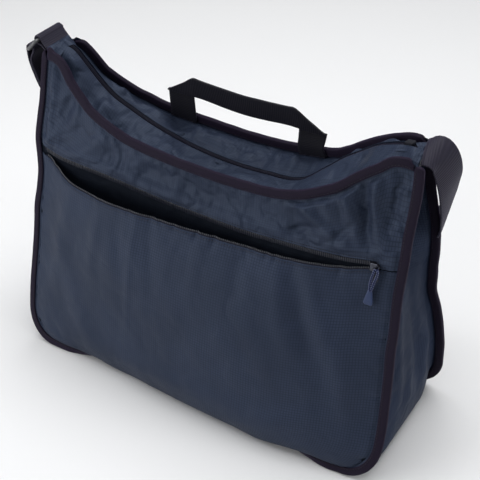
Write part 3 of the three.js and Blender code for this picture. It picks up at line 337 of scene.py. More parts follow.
# form of the body, in millimetres, by named column: it keeps within a few of the solids' form
outlineRows = {
    "z": (45, 60, 79, 100, 123, 145, 165, 185, 205, 222, 240, 260, 280, 300, 318, 335),
    "frontLeft": (214.9, 214.9, 214.4, 212.9, 211.4, 210.9, 210.4, 207.9,
                  206.6, 208.2, 210.7, 208.9, 206.4, 205.4, 204.4, 203.4),
    "frontRight": (219.5, 219, 218, 217, 215.5, 213.5, 213.3, 212,
                   211, 211.2, 211.4, 210.8, 211.4, 211.6, 211, 209),
    "back": (220.2, 220.7, 220.2, 218.2, 215.2, 210, 209.5, 210,
             211, 211, 209.8, 206.5, 203.8, 203, 204, 204),
}
rimRows = {
    "x": (-212, -198, -183, -168, -153, -138, -122, -90, -45, 0, 40, 76, 100, 116, 132, 150, 165, 182, 198, 212),
    "front": (336, 335, 330, 318.5, 305.5, 294, 286.5, 277, 272, 270,
              270, 272.5, 279, 286.5, 296, 311, 322, 332.5, 337, 338),
    "back": (334, 331, 317, 308, 299, 291, 285, 277, 273, 271,
             273, 279, 286, 296, 308, 320, 328, 333.5, 335, 336),
    "zip": (333, 333, 330, 315, 299, 288, 281, 270, 260, 256,
            256, 259, 277, 291, 303, 317, 325, 332, 334, 334),
    "zipY": (4, 4, 5, 6, 7, 7, 7, 6, 5, 4, 5, 8, 13, 16, 16, 13, 10, 6, 4, 4),
}
baseRows = {
    "x": (-181, -150, -113, -76, -30, 20, 57, 93, 139, 165, 181),
    "front": (1, 2, -2.6, -4.6, -2, 0.6, 2.2, 5.6, 7.6, 7.4, 5.6),
    "back": (1, 3, 4, 2, 0, 1, 3, 3, 1, 0, 0),
}
swellRows = {
    "h": (0, 1.5, 5, 11, 20, 34, 60, 100, 150, 200, 235, 262, 335),
    "front": (0, 3.6, 7.6, 11, 14, 16, 17, 16, 12, 6, 4, 7, 7),
    "back": (0, 3.6, 7.4, 11, 14.5, 18, 21, 22, 18, 13, 11, 10, 10),
}
mouthRows = {
    "x": (-200, -190, -178, -160, -128, -95, -65, -30, 10, 50, 90, 125, 155, 175, 200),
    "upper": (230.5, 227.8, 225.4, 224, 223.5, 222, 220, 218, 217, 216.5, 218.5, 220.5, 223.5, 227, 230),
    "lower": (227.5, 224.6, 219.5, 213, 209, 208, 208, 208, 208.5, 209.5, 210.5, 214, 219, 224.4, 227.4),
    "stand": (0, 0.6, 4, 9, 15, 19, 18, 15, 12, 9.5, 7.5, 5, 2.2, 0.4, 0),
}
gussetRows = {
    "z": (12, 45, 79, 123, 165, 205, 240, 280, 305, 320),
    "right": (6, 6, 5, 3, -1, -8, -15, -17, -11, -3),
    "left": (6, 6, 6, 4, 1, -4, -7, -6, -4, 0),
}
# folds: middle x and z, turn from upright, half length, half width, rise
pocketFolds = (
    (-168, 130, 14, 90, 13, 4.0), (-142, 75, -24, 60, 15, 3.5), (-114, 160, 10, 46, 8, 1.9),
    (-82, 168, -4, 40, 7, -1.6), (-66, 150, 3, 70, 5, 1.3), (-44, 172, -7, 44, 7, -1.5),
    (8, 176, 6, 30, 8, 1.2), (52, 182, -8, 30, 9, -1.1), (96, 176, -16, 42, 12, 2.0),
    (128, 150, -24, 60, 10, -2.4), (150, 150, -30, 60, 12, 3.4), (172, 110, -10, 80, 11, 3.0),
    (110, 42, 62, 70, 14, 3), (-20, 38, 88, 110, 15, 3),
)
upperFolds = (
    (-189, 285, 3, 50, 8, 4.6), (-167, 284, 14, 44, 8, -5), (-176, 256, 34, 40, 9, 5),
    (-140, 248, 52, 40, 10, 4), (-98, 243, 74, 40, 11, 3), (-20, 238, 88, 60, 11, 3),
    (70, 240, 84, 46, 11, 3.2), (116, 268, -50, 36, 6, -3), (124, 254, -60, 38, 9, 5),
    (136, 290, -16, 26, 4.5, -4), (148, 278, -30, 42, 8, 6), (160, 300, -12, 30, 4.5, -4.4),
    (171, 300, -6, 30, 5, 4), (166, 258, -16, 34, 6, -4.5), (180, 262, -18, 44, 8, 4.5),
    (190, 298, 6, 34, 4.5, -3.6), (126, 264, -20, 54, 30, 7), (104, 240, 62, 26, 4, -2.4),
    (142, 246, 40, 24, 4, -2.6),
)
# folds of the gusset: y and z in place of x and z
gussetFolds = (
    (-22, 190, 4, 90, 7, 3.6), (12, 130, -6, 80, 9, -4.5), (-8, 70, 10, 50, 9, 3.4),
    (34, 100, 8, 60, 8, 3), (22, 248, 10, 46, 13, -12),
)
backFolds = (
    (-170, 230, 24, 80, 17, 6), (-120, 200, 40, 70, 17, 5), (-50, 225, 82, 70, 17, 5),
    (60, 222, -84, 66, 17, 4.5), (132, 190, -36, 80, 17, 6), (172, 130, -12, 80, 17, 5),
    (-160, 95, -18, 60, 17, 4), (10, 60, 88, 120, 17, 4),
)
# folds across the top cloth: where along, share from rim to zip, half width, rise
stripFolds = (
    (-176, 0.5, 8, 3.5), (-158, 0.45, 7, -3), (-132, 0.5, 10, 3), (-112, 0.4, 8, -3.4),
    (-70, 0.5, 16, 2.6), (-24, 0.5, 15, -2.4), (30, 0.5, 17, 2.8), (74, 0.45, 12, -2.8),
    (106, 0.5, 9, 3.2), (128, 0.4, 8, -3), (146, 0.45, 26, 3), (178, 0.5, 8, -3.4),
    (-179, 0.18, 15, -7), (-150, 0.25, 9, -4), (-166, 0.7, 10, 3), (-120, 0.2, 8, -3),
)
body = {
    "baseHalf": 79, "topHalf": 19.5, "leanHeight": 335, "rimCorner": 324.5,
    "cornerRise": 35, "cornerRun": 27, "tuckStart": 178, "tuckEnd": 84,
    "finWidth": 10, "leftFin": 0.8, "finHold": 8.6, "finHalf": 2.55, "channelInner": 1.55,
    "layerStep": 0.7, "layerGap": 0.4, "tapeThick": 0.8, "webThick": 2.0,
    "zipLevel": 226, "zipHalf": 3.7, "shutFrom": 181, "shutOver": 6, "lipDrop": 2.4, "hemDrop": 5,
    "hemLift": 3.3, "hemSeat": 2.6, "tapeLift": 2.0, "lapTop": 10, "belly": 13, "bellyLean": 1.94,
}
front = {"sign": -1, "left": "frontLeft", "right": "frontRight", "name": "front"}
back = {"sign": 1, "left": "back", "right": "back", "name": "back"}


def mixed(a, b, part):
    return a + (b - a) * part


def ease(part):
    t = np.clip(part, 0, 1)
    return t * t * (3 - 2 * t)


def unit(vectors):
    return vectors / np.linalg.norm(vectors, axis=-1, keepdims=True)


def spot(x, y, z):
    return np.stack(np.broadcast_arrays(x, y, z), axis=-1).astype(float)


def dot(a, b):
    return (a * b).sum(axis=-1, keepdims=True)


def circle(count):
    return np.linspace(0, 2 * math.pi, count, endpoint=False)


# running length at each point of a path
def runOf(path):
    return np.concatenate([[0], np.cumsum(np.linalg.norm(np.diff(path, axis=0), axis=-1))])


# vectors given along a path, read at any places of it
def atPlaces(run, vectors, places):
    return np.stack([np.interp(places, run, vectors[:, k]) for k in range(3)], axis=-1)


# smooth reading of one column of a table at any places
def read(rows, column, at, key="x"):
    keys, values = np.array(rows[key], float), np.array(rows[column], float)
    last = len(keys) - 1
    k = np.arange(last + 1)
    high, low = np.minimum(k + 1, last), np.maximum(k - 1, 0)
    slopes = (values[high] - values[low]) / (keys[high] - keys[low])
    at = np.clip(at, keys[0], keys[-1])
    i = np.clip(np.searchsorted(keys, at, "right") - 1, 0, last - 1)
    span = keys[i + 1] - keys[i]
    t = (at - keys[i]) / span
    u = 1 - t
    flat = values[i] * u * u * (1 + 2 * t) + values[i + 1] * t * t * (3 - 2 * t)
    return flat + span * t * u * (slopes[i] * u - slopes[i + 1] * t)


def foldRise(folds, x, z):
    total = np.zeros(np.broadcast(x, z).shape)
    for middleX, middleZ, turn, long, wide, rise in folds:
        c, s = math.cos(math.radians(turn)), math.sin(math.radians(turn))
        along = ((z - middleZ) * c + (x - middleX) * s) / long
        across = ((x - middleX) * c - (z - middleZ) * s) / wide
        total = total + rise * np.exp(-along * along - across * across)
    return total


lean = (body["baseHalf"] - body["topHalf"]) / body["leanHeight"]
hangTurn = -math.atan(lean)


def seamY(wall, z):
    return wall["sign"] * (body["baseHalf"] - lean * z)


def upOf(wall):
    return unit(np.array([0, -wall["sign"] * lean, 1.0]))


def outOf(wall):
    return unit(np.array([0, wall["sign"], lean]))


def tuckTurn(x):
    share = (body["tuckStart"] - np.abs(x)) / (body["tuckStart"] - body["tuckEnd"])
    return mixed(hangTurn, math.pi / 2, ease(share))


def rootHeight(turn):
    return body["finWidth"] * np.cos(turn) + body["finHalf"] * np.abs(np.sin(turn))


cornerFoot = float(rootHeight(hangTurn))
cornerTop = cornerFoot + body["cornerRise"]


# the left edging of the front stands less far out than the others
def finShare(wall, side, z):
    narrow = body["leftFin"] if wall["left"] == "frontLeft" and side < 0 else 1
    return mixed(1, narrow, ease((np.asarray(z) - cornerFoot) / body["cornerRise"]))


def rootX(wall, side, z):
    column = wall["right"] if side > 0 else wall["left"]
    upper = read(outlineRows, column, z, "z") - body["finWidth"] * finShare(wall, side, z)
    full = read(outlineRows, column, cornerTop, "z") - body["finWidth"] * finShare(wall, side, cornerTop)
    sine = np.clip(1 - (z - cornerFoot) / body["cornerRise"], 0, 1)
    lower = full - body["cornerRun"] * (1 - np.sqrt(1 - sine * sine))
    return side * np.where(z >= cornerTop, upper, lower)


def spread(u):
    return 1 - np.abs(u) ** 2.3


def acrossX(wall, u, z):
    right, left = rootX(wall, 1, z), rootX(wall, -1, z)
    return (right + left) / 2 + u * (right - left) / 2


def uAt(wall, x, z):
    right, left = (rootX(wall, side, np.array(float(z))) for side in (1, -1))
    return (2 * x - right - left) / (right - left)


def baseEdge(wall, u):
    return rootHeight(tuckTurn(acrossX(wall, u, cornerFoot)))


def rimRoot(wall, u):
    x = acrossX(wall, u, body["rimCorner"])
    slope = (read(rimRows, wall["name"], x + 2) - read(rimRows, wall["name"], x - 2)) / 4
    free = read(rimRows, wall["name"], x) - body["finWidth"] * np.sqrt(1 + slope * slope)
    return mixed(free, body["rimCorner"], ease((np.abs(u) - 0.86) / 0.14))


def wallPoint(wall, u, z):
    h = z - baseEdge(wall, u)
    swell = read(swellRows, wall["name"], h, "h") * spread(u)
    bow = read(baseRows, wall["name"], acrossX(wall, u, cornerFoot)) * (1 - ease(h / 70))
    return spot(acrossX(wall, u, z), seamY(wall, z) + wall["sign"] * (swell + bow), z)


def wallNormal(wall, u, z):
    along = wallPoint(wall, np.minimum(u + 0.002, 1), z) - wallPoint(wall, np.maximum(u - 0.002, -1), z)
    rise = wallPoint(wall, u, z + 0.5) - wallPoint(wall, u, np.maximum(z - 0.5, baseEdge(wall, u)))
    normal = unit(np.cross(along, rise))
    return np.where(normal[..., 1:2] * wall["sign"] < 0, -normal, normal)


def wallOut(wall, u, z, far):
    return wallPoint(wall, u, z) + wallNormal(wall, u, z) * np.asarray(far)[..., None]


# frames of the bound seam: root, way of the fin, way of its outer face
def sideFrame(wall, side, z):
    z = np.asarray(z, float)
    low = np.maximum(z - 0.5, cornerFoot)
    run = (rootX(wall, side, z + 0.5) - rootX(wall, side, low)) / (z + 0.5 - low)
    run = np.where(z <= cornerFoot + 0.01, side * 1e6, run)
    fin = unit(np.array([side, 0, 0]) - side * run[..., None] * upOf(wall))
    fin = fin * finShare(wall, side, z)[..., None]
    root = wallPoint(wall, np.full(z.shape, float(side)), z)
    return root, fin, np.broadcast_to(outOf(wall), root.shape)


def baseFrame(wall, u):
    root = wallPoint(wall, u, baseEdge(wall, u))
    turn = tuckTurn(acrossX(wall, u, cornerFoot))
    fin = spot(0, -wall["sign"] * np.sin(turn), -np.cos(turn))
    return root, fin, spot(0, wall["sign"] * np.cos(turn), -np.sin(turn))


def rimFrame(wall, u):
    root = wallPoint(wall, u, rimRoot(wall, u))
    ahead = wallPoint(wall, u + 0.004, rimRoot(wall, u + 0.004))
    along = unit(ahead - wallPoint(wall, u - 0.004, rimRoot(wall, u - 0.004)))
    out = outOf(wall)
    face = unit(out - along * dot(along, out))
    fin = np.cross(face, along)
    return root, np.where(fin[..., 2:3] < 0, -fin, fin), face


# beside the seam's root: far along the fin, off towards its outer face
def seamSpot(run, far, off):
    root, fin, face = run
    return root + fin * far + face * off


# finer wrinkles, each from its own seed
def creases(seed, count, area, long, wide, rise, turns=(-90, 90)):
    chance = np.random.default_rng(seed)
    lowX, highX, lowZ, highZ = area
    columns = (
        chance.uniform(lowX, highX, count), chance.uniform(lowZ, highZ, count),
        chance.uniform(*turns, count), chance.uniform(*long, count),
        chance.uniform(*wide, count), chance.uniform(*rise, count) * chance.choice((-1, 1), count),
    )
    return list(zip(*columns))


# soft waves of about one length, in five random directions
def ripple(a, b, length, seed):
    chance = np.random.default_rng(seed)
    total = 0
    for _ in range(5):
        turn, phase = chance.uniform(0, math.pi), chance.uniform(0, 6.28)
        size = length * chance.uniform(0.7, 1.5)
        bent = a * math.cos(turn) + b * math.sin(turn)
        sway = np.sin((a * math.sin(turn) - b * math.cos(turn)) / size * 2 + phase) * 0.9
        total = total + np.sin(bent * (2 * math.pi / size) + sway + phase)
    return total / 5


# short dimples that start at a seam and fade within reach, at irregular places of the span
def puckers(place, depth, pitch, reach, seed, span=(-210, 210)):
    chance = np.random.default_rng(seed)
    total = 0
    for _ in range(int((span[1] - span[0]) / pitch)):
        middle, slant = chance.uniform(*span), chance.uniform(-0.3, 0.3)
        long, wide, deep = reach * chance.uniform(0.5, 1.8), chance.uniform(1.7, 3.3), chance.uniform(0.25, 1)
        across = (place - middle - slant * depth) / (wide * (1 + depth / reach * 0.5))
        total = total - deep * np.exp(-across ** 2 - (depth / long) ** 2)
    return total * ease(depth / 1.5)


# making pieces
def makeMesh(name, points, faces, finish, uvs=None, closed=False, smooth=True):
    mesh = bpy.data.meshes.new(name)
    mesh.from_pydata((points.reshape(-1, 3) * 0.001).tolist(), [], faces)
    if uvs is not None:
        layer = mesh.uv_layers.new(name="cloth")
        corners = np.empty(len(mesh.loops), np.int32)
        mesh.loops.foreach_get("vertex_index", corners)
        layer.data.foreach_set("uv", np.asarray(uvs, np.float32).reshape(-1, 2)[corners].ravel())
    mesh.materials.append(finishes[finish])
    mesh.polygons.foreach_set("use_smooth", [smooth] * len(mesh.polygons))
    if closed:
        tool = bmesh.new()
        tool.from_mesh(mesh)
        bmesh.ops.recalc_face_normals(tool, faces=tool.faces)
        tool.to_mesh(mesh)
        tool.free()
    made = bpy.data.objects.new(name, mesh)
    scene.collection.objects.link(made)
    return made


def settle(piece, slotName, *nodes):
    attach(piece, "root")
    if nodes:
        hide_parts(*nodes)
    return piece


def gridFaces(high, wide, loopAcross=False, flip=False):
    index = np.arange(high * wide).reshape(high, wide)
    if loopAcross:
        index = np.concatenate([index, index[:, :1]], axis=1)
    a, b, c, d = index[:-1, :-1], index[:-1, 1:], index[1:, 1:], index[1:, :-1]
    order = (a, d, c, b) if flip else (a, b, c, d)
    return np.stack([part.ravel() for part in order], axis=1)


# places across and along, in metres, so that weaves keep their size
def woven(across, along):
    return np.stack(np.broadcast_arrays(across, along[:, None]), axis=-1) * 0.001


def clothPiece(name, grid, finish="cloth", flip=False):
    steps = [np.cumsum(np.linalg.norm(np.diff(grid, axis=axis), axis=-1), axis=axis) for axis in (0, 1)]
    along = np.pad(steps[0], ((1, 0), (0, 0))).mean(axis=1)
    across = np.pad(steps[1], ((0, 0), (1, 0)))
    across = (across - across[:, grid.shape[1] // 2, None]).mean(axis=0)
    faces = gridFaces(*grid.shape[:2], flip=flip).tolist()
    return makeMesh(name, grid, faces, finish, woven(across, along))


# a grid whose rows are rings, closed at both ends
def tube(name, grid, finish, uvs=None):
    high, wide = grid.shape[:2]
    ends = [list(range(wide))[::-1], list(range((high - 1) * wide, high * wide))]
    faces = gridFaces(high, wide, loopAcross=True).tolist() + ends
    return makeMesh(name, grid, faces, finish, uvs, closed=True)


# a closed section carried along a run of frames
def carried(name, frames, outline, finish, ripples=0, across=None):
    root, fin, face = (vectors[:, None] for vectors in frames)
    grid = root + fin * outline[:, :1] + face * outline[:, 1:] + ripples
    across = runOf(outline) if across is None else across
    return tube(name, grid, finish, woven(across, runOf(grid[:, 0])))


stitchDetail = {
    "length": 0.72,  # share of the pitch
    "width": 0.55,
    "rise": 0.3,
    "sides": 6,
    "stations": ((0, 0.25, -0.35), (0.12, 0.8, 0.15), (0.5, 1, 0.45), (0.88, 0.8, 0.15), (1, 0.25, -0.35)),
}


# short rounded threads lying one after another along a path, joined into one piece
def stitchRun(name, path, outs, pitch, slotName):
    run = runOf(path)
    places = np.arange(pitch, run[-1] - pitch, pitch)
    starts, ends = atPlaces(run, path, places), atPlaces(run, path, places + pitch * stitchDetail["length"])
    outs = unit(atPlaces(run, outs, places))
    side = unit(np.cross(outs, unit(ends - starts)))
    rings = []
    for part, fat, lift in stitchDetail["stations"]:
        middle = starts + (ends - starts) * part + outs * (lift * stitchDetail["rise"])
        half = fat * stitchDetail["width"] / 2
        turns = circle(stitchDetail["sides"])
        ring = [middle + side * (math.cos(t) * half) + outs * (math.sin(t) * half) for t in turns]
        rings.append(np.stack(ring, axis=1))
    points = np.stack(rings, axis=1)
    count, size = len(places), points.shape[1] * points.shape[2]
    one = gridFaces(*points.shape[1:3], loopAcross=True)
    faces = (one[None] + np.arange(count)[:, None, None] * size).reshape(-1, 4)
    return settle(makeMesh(name, points, faces.tolist(), "thread", np.zeros((count * size, 2))), slotName)


print("helpers ready")


# cloth of the walls
clothDetail = {
    "columns": 281, "rows": 121, "creases": 60, "creaseLong": (14, 46), "creaseWide": (3, 7),
    "creaseRise": (0.1, 0.5), "ripple": 0.6, "rippleLength": 38, "fineRipple": 0.12, "fineLength": 13,
    "pucker": 1.25, "puckers": (11, 9),  # their pitch and reach
}
wallUs = np.linspace(-1, 1, clothDetail["columns"])


def sideDepth(wall, u, z):
    return (1 - np.abs(u)) * (rootX(wall, 1, z) - rootX(wall, -1, z)) / 2


def clothWrinkles(wall, u, z, seed, area, rise=clothDetail["creaseRise"]):
    x, depth = acrossX(wall, u, z), sideDepth(wall, u, z)
    long, wide = clothDetail["creaseLong"], clothDetail["creaseWide"]
    small = creases(seed, clothDetail["creases"], area, long, wide, rise)
    side = puckers(z, depth, *clothDetail["puckers"], seed + 3, (0, 340))
    waves = clothDetail["ripple"] * ripple(x, z, clothDetail["rippleLength"], seed + 1)
    waves = waves + clothDetail["fineRipple"] * ripple(x, z, clothDetail["fineLength"], seed + 2)
    return ease(depth / 7) * (waves + foldRise(small, x, z)) + clothDetail["pucker"] * side


# a wall cloth with its held edges running into the bindings
def wallGrid(wall, us, parts, heightOf, liftOf, base=True, rim=True, off=body["layerStep"]):
    u, part = np.meshgrid(us, parts)
    z = heightOf(u, part)
    grid = wallOut(wall, u, z, liftOf(u, z, part))
    left, right = sideFrame(wall, -1, z[:, 0]), sideFrame(wall, 1, z[:, -1])
    foot, top, hold = baseFrame(wall, us), rimFrame(wall, us), body["finHold"]
    grid[:, 0], grid[:, -1] = seamSpot(left, 0, off), seamSpot(right, 0, off)
    if base:
        grid[0] = seamSpot(foot, 0, off)
    if rim:
        grid[-1] = seamSpot(top, 0, off)
    grid = np.concatenate([seamSpot(left, hold, off)[:, None], grid, seamSpot(right, hold, off)[:, None]], axis=1)
    if base:
        row = seamSpot(foot, hold, off)
        grid = np.concatenate([np.concatenate([row[:1], row, row[-1:]])[None], grid])
    if rim:
        row = seamSpot(top, hold, body["layerStep"])
        grid = np.concatenate([grid, np.concatenate([grid[-1:, 0], row, grid[-1:, -1]])[None]])
    return grid


# closely set first rows, where the cloth rounds over the base seam
def wallParts(count, tight=0.03):
    low = np.array([0, 0.1, 0.22, 0.36, 0.5, 0.66, 0.82]) * tight
    return np.concatenate([low, np.linspace(tight, 1, count)])


def mouth(column, u):
    return read(mouthRows, column, acrossX(front, u, body["zipLevel"]))


# behind the slider the two hems meet
def shutShare(u):
    return ease((acrossX(front, u, body["zipLevel"]) - body["shutFrom"]) / body["shutOver"])


def pocketHem(u):
    return mouth("lower", u) - mixed(body["lipDrop"], 0.8, shutShare(u))


def upperHem(u):
    shut = mouth("lower", u) + 1.1
    return mixed(mouth("upper", u) + body["hemDrop"], shut, shutShare(u))


# a long slope from the left, fullest right of the middle
def pocketLift(u, part, z):
    x = acrossX(front, u, z)
    stand = read(mouthRows, "stand", x) * ease((part - 0.25) / 0.75)
    full = np.sin(math.pi * ((np.clip(u, -1, 1) + 1) / 2) ** body["bellyLean"])
    belly = body["belly"] * np.sin(math.pi * np.clip(part, 0, 1)) * full
    calm = ease(part / 0.12) * (1 - u ** 6)
    seat = mixed(body["hemSeat"], body["hemLift"], ease((part - 0.7) / 0.22))
    return seat + stand + belly + calm * foldRise(pocketFolds, x, z)


hemDetail = {"round": 0.45, "turn": 7.5, "seam": 1.8, "seamLift": 0.12, "pitch": 2.9}


# a front cloth turns over a small round at its free edge and runs back inside, with a row of stitches
def hemmed(names, grid, inwards, finish, node, step=1, **sheet):
    edge = grid[-1, 1:-1]
    backwards = unit(grid[-3, 1:-1] - edge)
    roundness, rows = hemDetail["round"], []
    for turn in np.radians((30, 60, 90, 120, 150, 180)):
        lift = inwards * roundness * (1 - math.cos(turn))
        rows.append(edge + lift - backwards * roundness * math.sin(turn))
    for far in np.linspace(0, hemDetail["turn"], 5)[1:]:
        rows.append(edge + inwards * 2 * roundness + backwards * far)
    turned = np.pad(np.stack(rows), ((0, 0), (1, 1), (0, 0)), "edge")
    piece = settle(clothPiece(names[0], np.concatenate([grid, turned])[::step], finish), "cloth", node)
    outs = -inwards[5:-5]
    seam = edge[5:-5] + backwards[5:-5] * hemDetail["seam"] + outs * hemDetail["seamLift"]
    thread = stitchRun(names[1], seam, outs, hemDetail["pitch"], "cloth")


# gathers and puckers have a pitch, a reach and a seed
pocketDetail = {"seed": 11, "area": (-200, 200, 20, 205), "gather": 1.1, "gathers": (8, 8, 5), "off": 1.25}


def pocketFine(u, z):
    x = acrossX(front, u, z)
    below = np.maximum(pocketHem(u) - z, 0)
    gathers = puckers(x, below + 2, *pocketDetail["gathers"])
    calm = ease(below / 9) * ease((z - baseEdge(front, u)) / 12)
    rough = clothWrinkles(front, u, z, pocketDetail["seed"], pocketDetail["area"])
    return calm * rough + pocketDetail["gather"] * gathers * ease(sideDepth(front, u, z) / 25)


def pocketCloth():
    def height(u, part):
        return mixed(baseEdge(front, u), pocketHem(u), part)

    def lift(u, z, part):
        edge = mixed(1.5, 0, ease(sideDepth(front, u, z) / 5))
        return pocketLift(u, part, z) - edge + pocketFine(u, z)
    parts = wallParts(clothDetail["rows"])
    grid = wallGrid(front, wallUs, parts, height, lift, rim=False, off=pocketDetail["off"])
    inwards = -wallNormal(front, wallUs, pocketHem(wallUs))
    names = ("pocket_front_cloth", "pocket_lip_stitches")
    hemmed(names, grid, inwards, "cloth", "pocket_front", flat=(0.47, 0.225))


def pocketWall():
    def height(u, part):
        return mixed(baseEdge(front, u), mouth("upper", u) + body["lapTop"], part)

    def lift(u, z, part):
        return body["layerStep"] + 0 * z
    grid = wallGrid(front, wallUs[::2], wallParts(50), height, lift, rim=False)
    # the inner wall takes the cloth with painted shade
    piece = settle(clothPiece("pocket_wall_cloth", grid, "paintedShadeLining"), "cloth", "pocket_back_wall")


upperDetail = {
    "seed": 29, "area": (-200, 200, 225, 330), "rise": (0.3, 1.0), "rows": 80, "hollow": 4.5,
    "pucker": 1.1, "puckers": (8, 9, 31),
}


def upperCloth():
    def height(u, part):
        return mixed(upperHem(u), rimRoot(front, u), part)

    def lift(u, z, part):
        over, under = z - mouth("upper", u), rimRoot(front, u) - z
        hem = (body["hemLift"] - body["layerStep"]) * (1 - ease((over - 12) / 7))
        hem = hem * ease(sideDepth(front, u, z) / 5)
        calm = ease((over - 6) / 14) * ease(under / 7) * ease((1 - np.abs(u)) / 0.05)
        x = acrossX(front, u, z)
        fine = clothWrinkles(front, u, z, upperDetail["seed"], upperDetail["area"], upperDetail["rise"])
        rim = puckers(x, under, *upperDetail["puckers"]) * upperDetail["pucker"]
        ends = ease((over - 5) / 8) * ease(under / 6)
        hollow = upperDetail["hollow"] * np.sin(math.pi * part) ** 2 * spread(u)
        folds = calm * (foldRise(upperFolds, x, z) - hollow)
        return body["layerStep"] + hem + folds + ends * fine + rim * ease((over - 6) / 10)
    grid = wallGrid(front, wallUs, np.linspace(0, 1, upperDetail["rows"]), height, lift, base=False)
    inwards = -wallNormal(front, wallUs, upperHem(wallUs))
    names = ("upper_front_cloth", "upper_hem_stitches")
    hemmed(names, grid[::-1], inwards, "crumpled", "upper_front", -1, flat=(0.45, 0.12), area=0.032)


backDetail = {"seed": 47, "area": (-200, 200, 20, 320), "pucker": 0.9, "puckers": (9, 9, 53)}


def backCloth():
    def height(u, part):
        return mixed(baseEdge(back, u), rimRoot(back, u), part)

    def lift(u, z, part):
        low, top = z - baseEdge(back, u), rimRoot(back, u) - z
        calm = ease(low / 30) * ease(top / 14) * spread(u)
        x = acrossX(back, u, z)
        fine = clothWrinkles(back, u, z, backDetail["seed"], backDetail["area"]) * ease(low / 14) * ease(top / 8)
        rim = puckers(x, top, *backDetail["puckers"]) * backDetail["pucker"]
        return body["layerStep"] + calm * foldRise(backFolds, x, z) + fine + rim
    grid = wallGrid(back, wallUs, wallParts(clothDetail["rows"], 0.02), height, lift)
    piece = settle(clothPiece("back_cloth", grid, flip=True), "cloth", "back_wall")


# gusset and the bound seams, all along one run of stations
def seamRun(wall, side=150, corner=26, base=240):
    turns = np.radians(np.linspace(0, 90, corner))
    z = np.concatenate([np.linspace(body["rimCorner"], cornerTop, side)[:-1],
                        cornerFoot + body["cornerRise"] * (1 - np.sin(turns))])
    us = np.linspace(0.995, -0.995, base)
    frames = [sideFrame(wall, 1, z), baseFrame(wall, us), sideFrame(wall, -1, z[::-1])]
    run = tuple(np.concatenate([np.broadcast_to(frame[k], frame[0].shape) for frame in frames]) for k in range(3))
    return run, z, us


gussetDetail = {
    "across": 61, "wrinkle": 1.3, "wrinkles": (42, 71), "fine": 0.35, "fineWrinkles": (23, 72),  # length and seed
    "pucker": 0.8, "puckers": (9, 12, 79, (0, 1100)), "level": 0.5, "foot": 14, "push": 17, "pushEnd": 180,
    "reach": 34, "tuckReach": 24, "tuckDeep": 11.5,
}


# the line halfway between front and back: down the right end, along the base, up the left end
def gussetMiddle(z, us):
    turn = np.arcsin(np.clip(1 - (z - cornerFoot) / body["cornerRise"], 0, 1))
    level, rows = gussetDetail["level"], []
    for side in (1, -1):
        full = np.abs(rootX(front, side, np.maximum(z, cornerTop)))
        full = full + read(gussetRows, "right" if side > 0 else "left", z, "z")
        upper = spot(side * full, 0, z)
        lowX = full - gussetDetail["foot"] * (1 - np.cos(turn))
        low = spot(side * lowX, 0, level + (cornerTop - level) * (1 - np.sin(turn)))
        rows.append(np.where((z >= cornerTop)[:, None], upper, low))
    x = acrossX(front, us, cornerFoot)
    pushed = (np.abs(x) - body["tuckEnd"]) / (gussetDetail["pushEnd"] - body["tuckEnd"])
    push = gussetDetail["push"] * ease(pushed)
    return np.concatenate([rows[0], spot(x + np.sign(x) * push, 0, level), rows[1][::-1]])


# edges of the gusset and the top cloths, held on the inner side of a bound seam
def heldRows(run, lifted=0.2):
    step, reach = body["layerStep"], body["finHalf"] + body["layerGap"] + 0.5
    return [seamSpot(run, body["finHold"], -step), seamSpot(run, 0.3, -step), seamSpot(run, -0.5, -2),
            seamSpot(run, lifted, -reach)]


def gussetCloth():
    (frontRun, z, us), (backRun, _, _) = seamRun(front), seamRun(back)
    baseX = np.abs(acrossX(front, us, cornerFoot))
    tuckBase = ease((body["tuckStart"] - baseX) / (body["tuckStart"] - body["tuckEnd"]))
    tuck = np.concatenate([0 * z, tuckBase, 0 * z])
    edges = [heldRows(run, mixed(-0.5, 0.4, tuck[:, None])) for run in (frontRun, backRun)]
    start, end = edges[0][3], edges[1][3]
    span = np.linalg.norm(end - start, axis=-1)
    middle = gussetMiddle(z, us)
    deep = gussetDetail["tuckDeep"] * tuck
    reach = mixed(np.minimum(gussetDetail["reach"], span / 2), gussetDetail["tuckReach"], tuck)
    inner = []
    for share in np.linspace(0.012, 0.988, gussetDetail["across"]):
        here = mixed(start, end, share)
        part = ease((min(share, 1 - share) * span - deep) / (reach - deep))
        for axis in (0, 2):
            here[:, axis] = mixed(here[:, axis], middle[:, axis], part)
        inner.append(here)
    grid = np.stack(edges[0] + inner + edges[1][::-1], axis=1)
    x, y, z = (grid[..., axis] for axis in range(3))
    centre = grid.shape[1] // 2
    place = np.broadcast_to(runOf(grid[:, centre])[:, None], y.shape)
    sides = ease((z - 25) / 40)
    edge = np.minimum(np.arange(grid.shape[1]), np.arange(grid.shape[1])[::-1])[None, :]
    rough = ripple(place, y, *gussetDetail["wrinkles"]) * gussetDetail["wrinkle"]
    rough = rough + ripple(place, y, *gussetDetail["fineWrinkles"]) * gussetDetail["fine"]
    rough = rough + foldRise(gussetFolds, y, z)
    seam = puckers(place, edge * 1.6, *gussetDetail["puckers"]) * gussetDetail["pucker"]
    rough = ease((edge - 3) / 8) * sides * rough + seam * sides * ease((edge - 3) / 3)
    grid[..., 0] += np.sign(x) * rough * ease((body["rimCorner"] - z) / 8)
    piece = settle(clothPiece("gusset_cloth", grid, "gusset"), "cloth", "gusset")


bindingDetail = {
    "pitch": 3.3, "stitchFar": 2.7, "round": 1.3, "nip": 0.05,
    "wave": 0.4, "waveLength": 24, "sway": 0.3, "swayLength": 31,
}


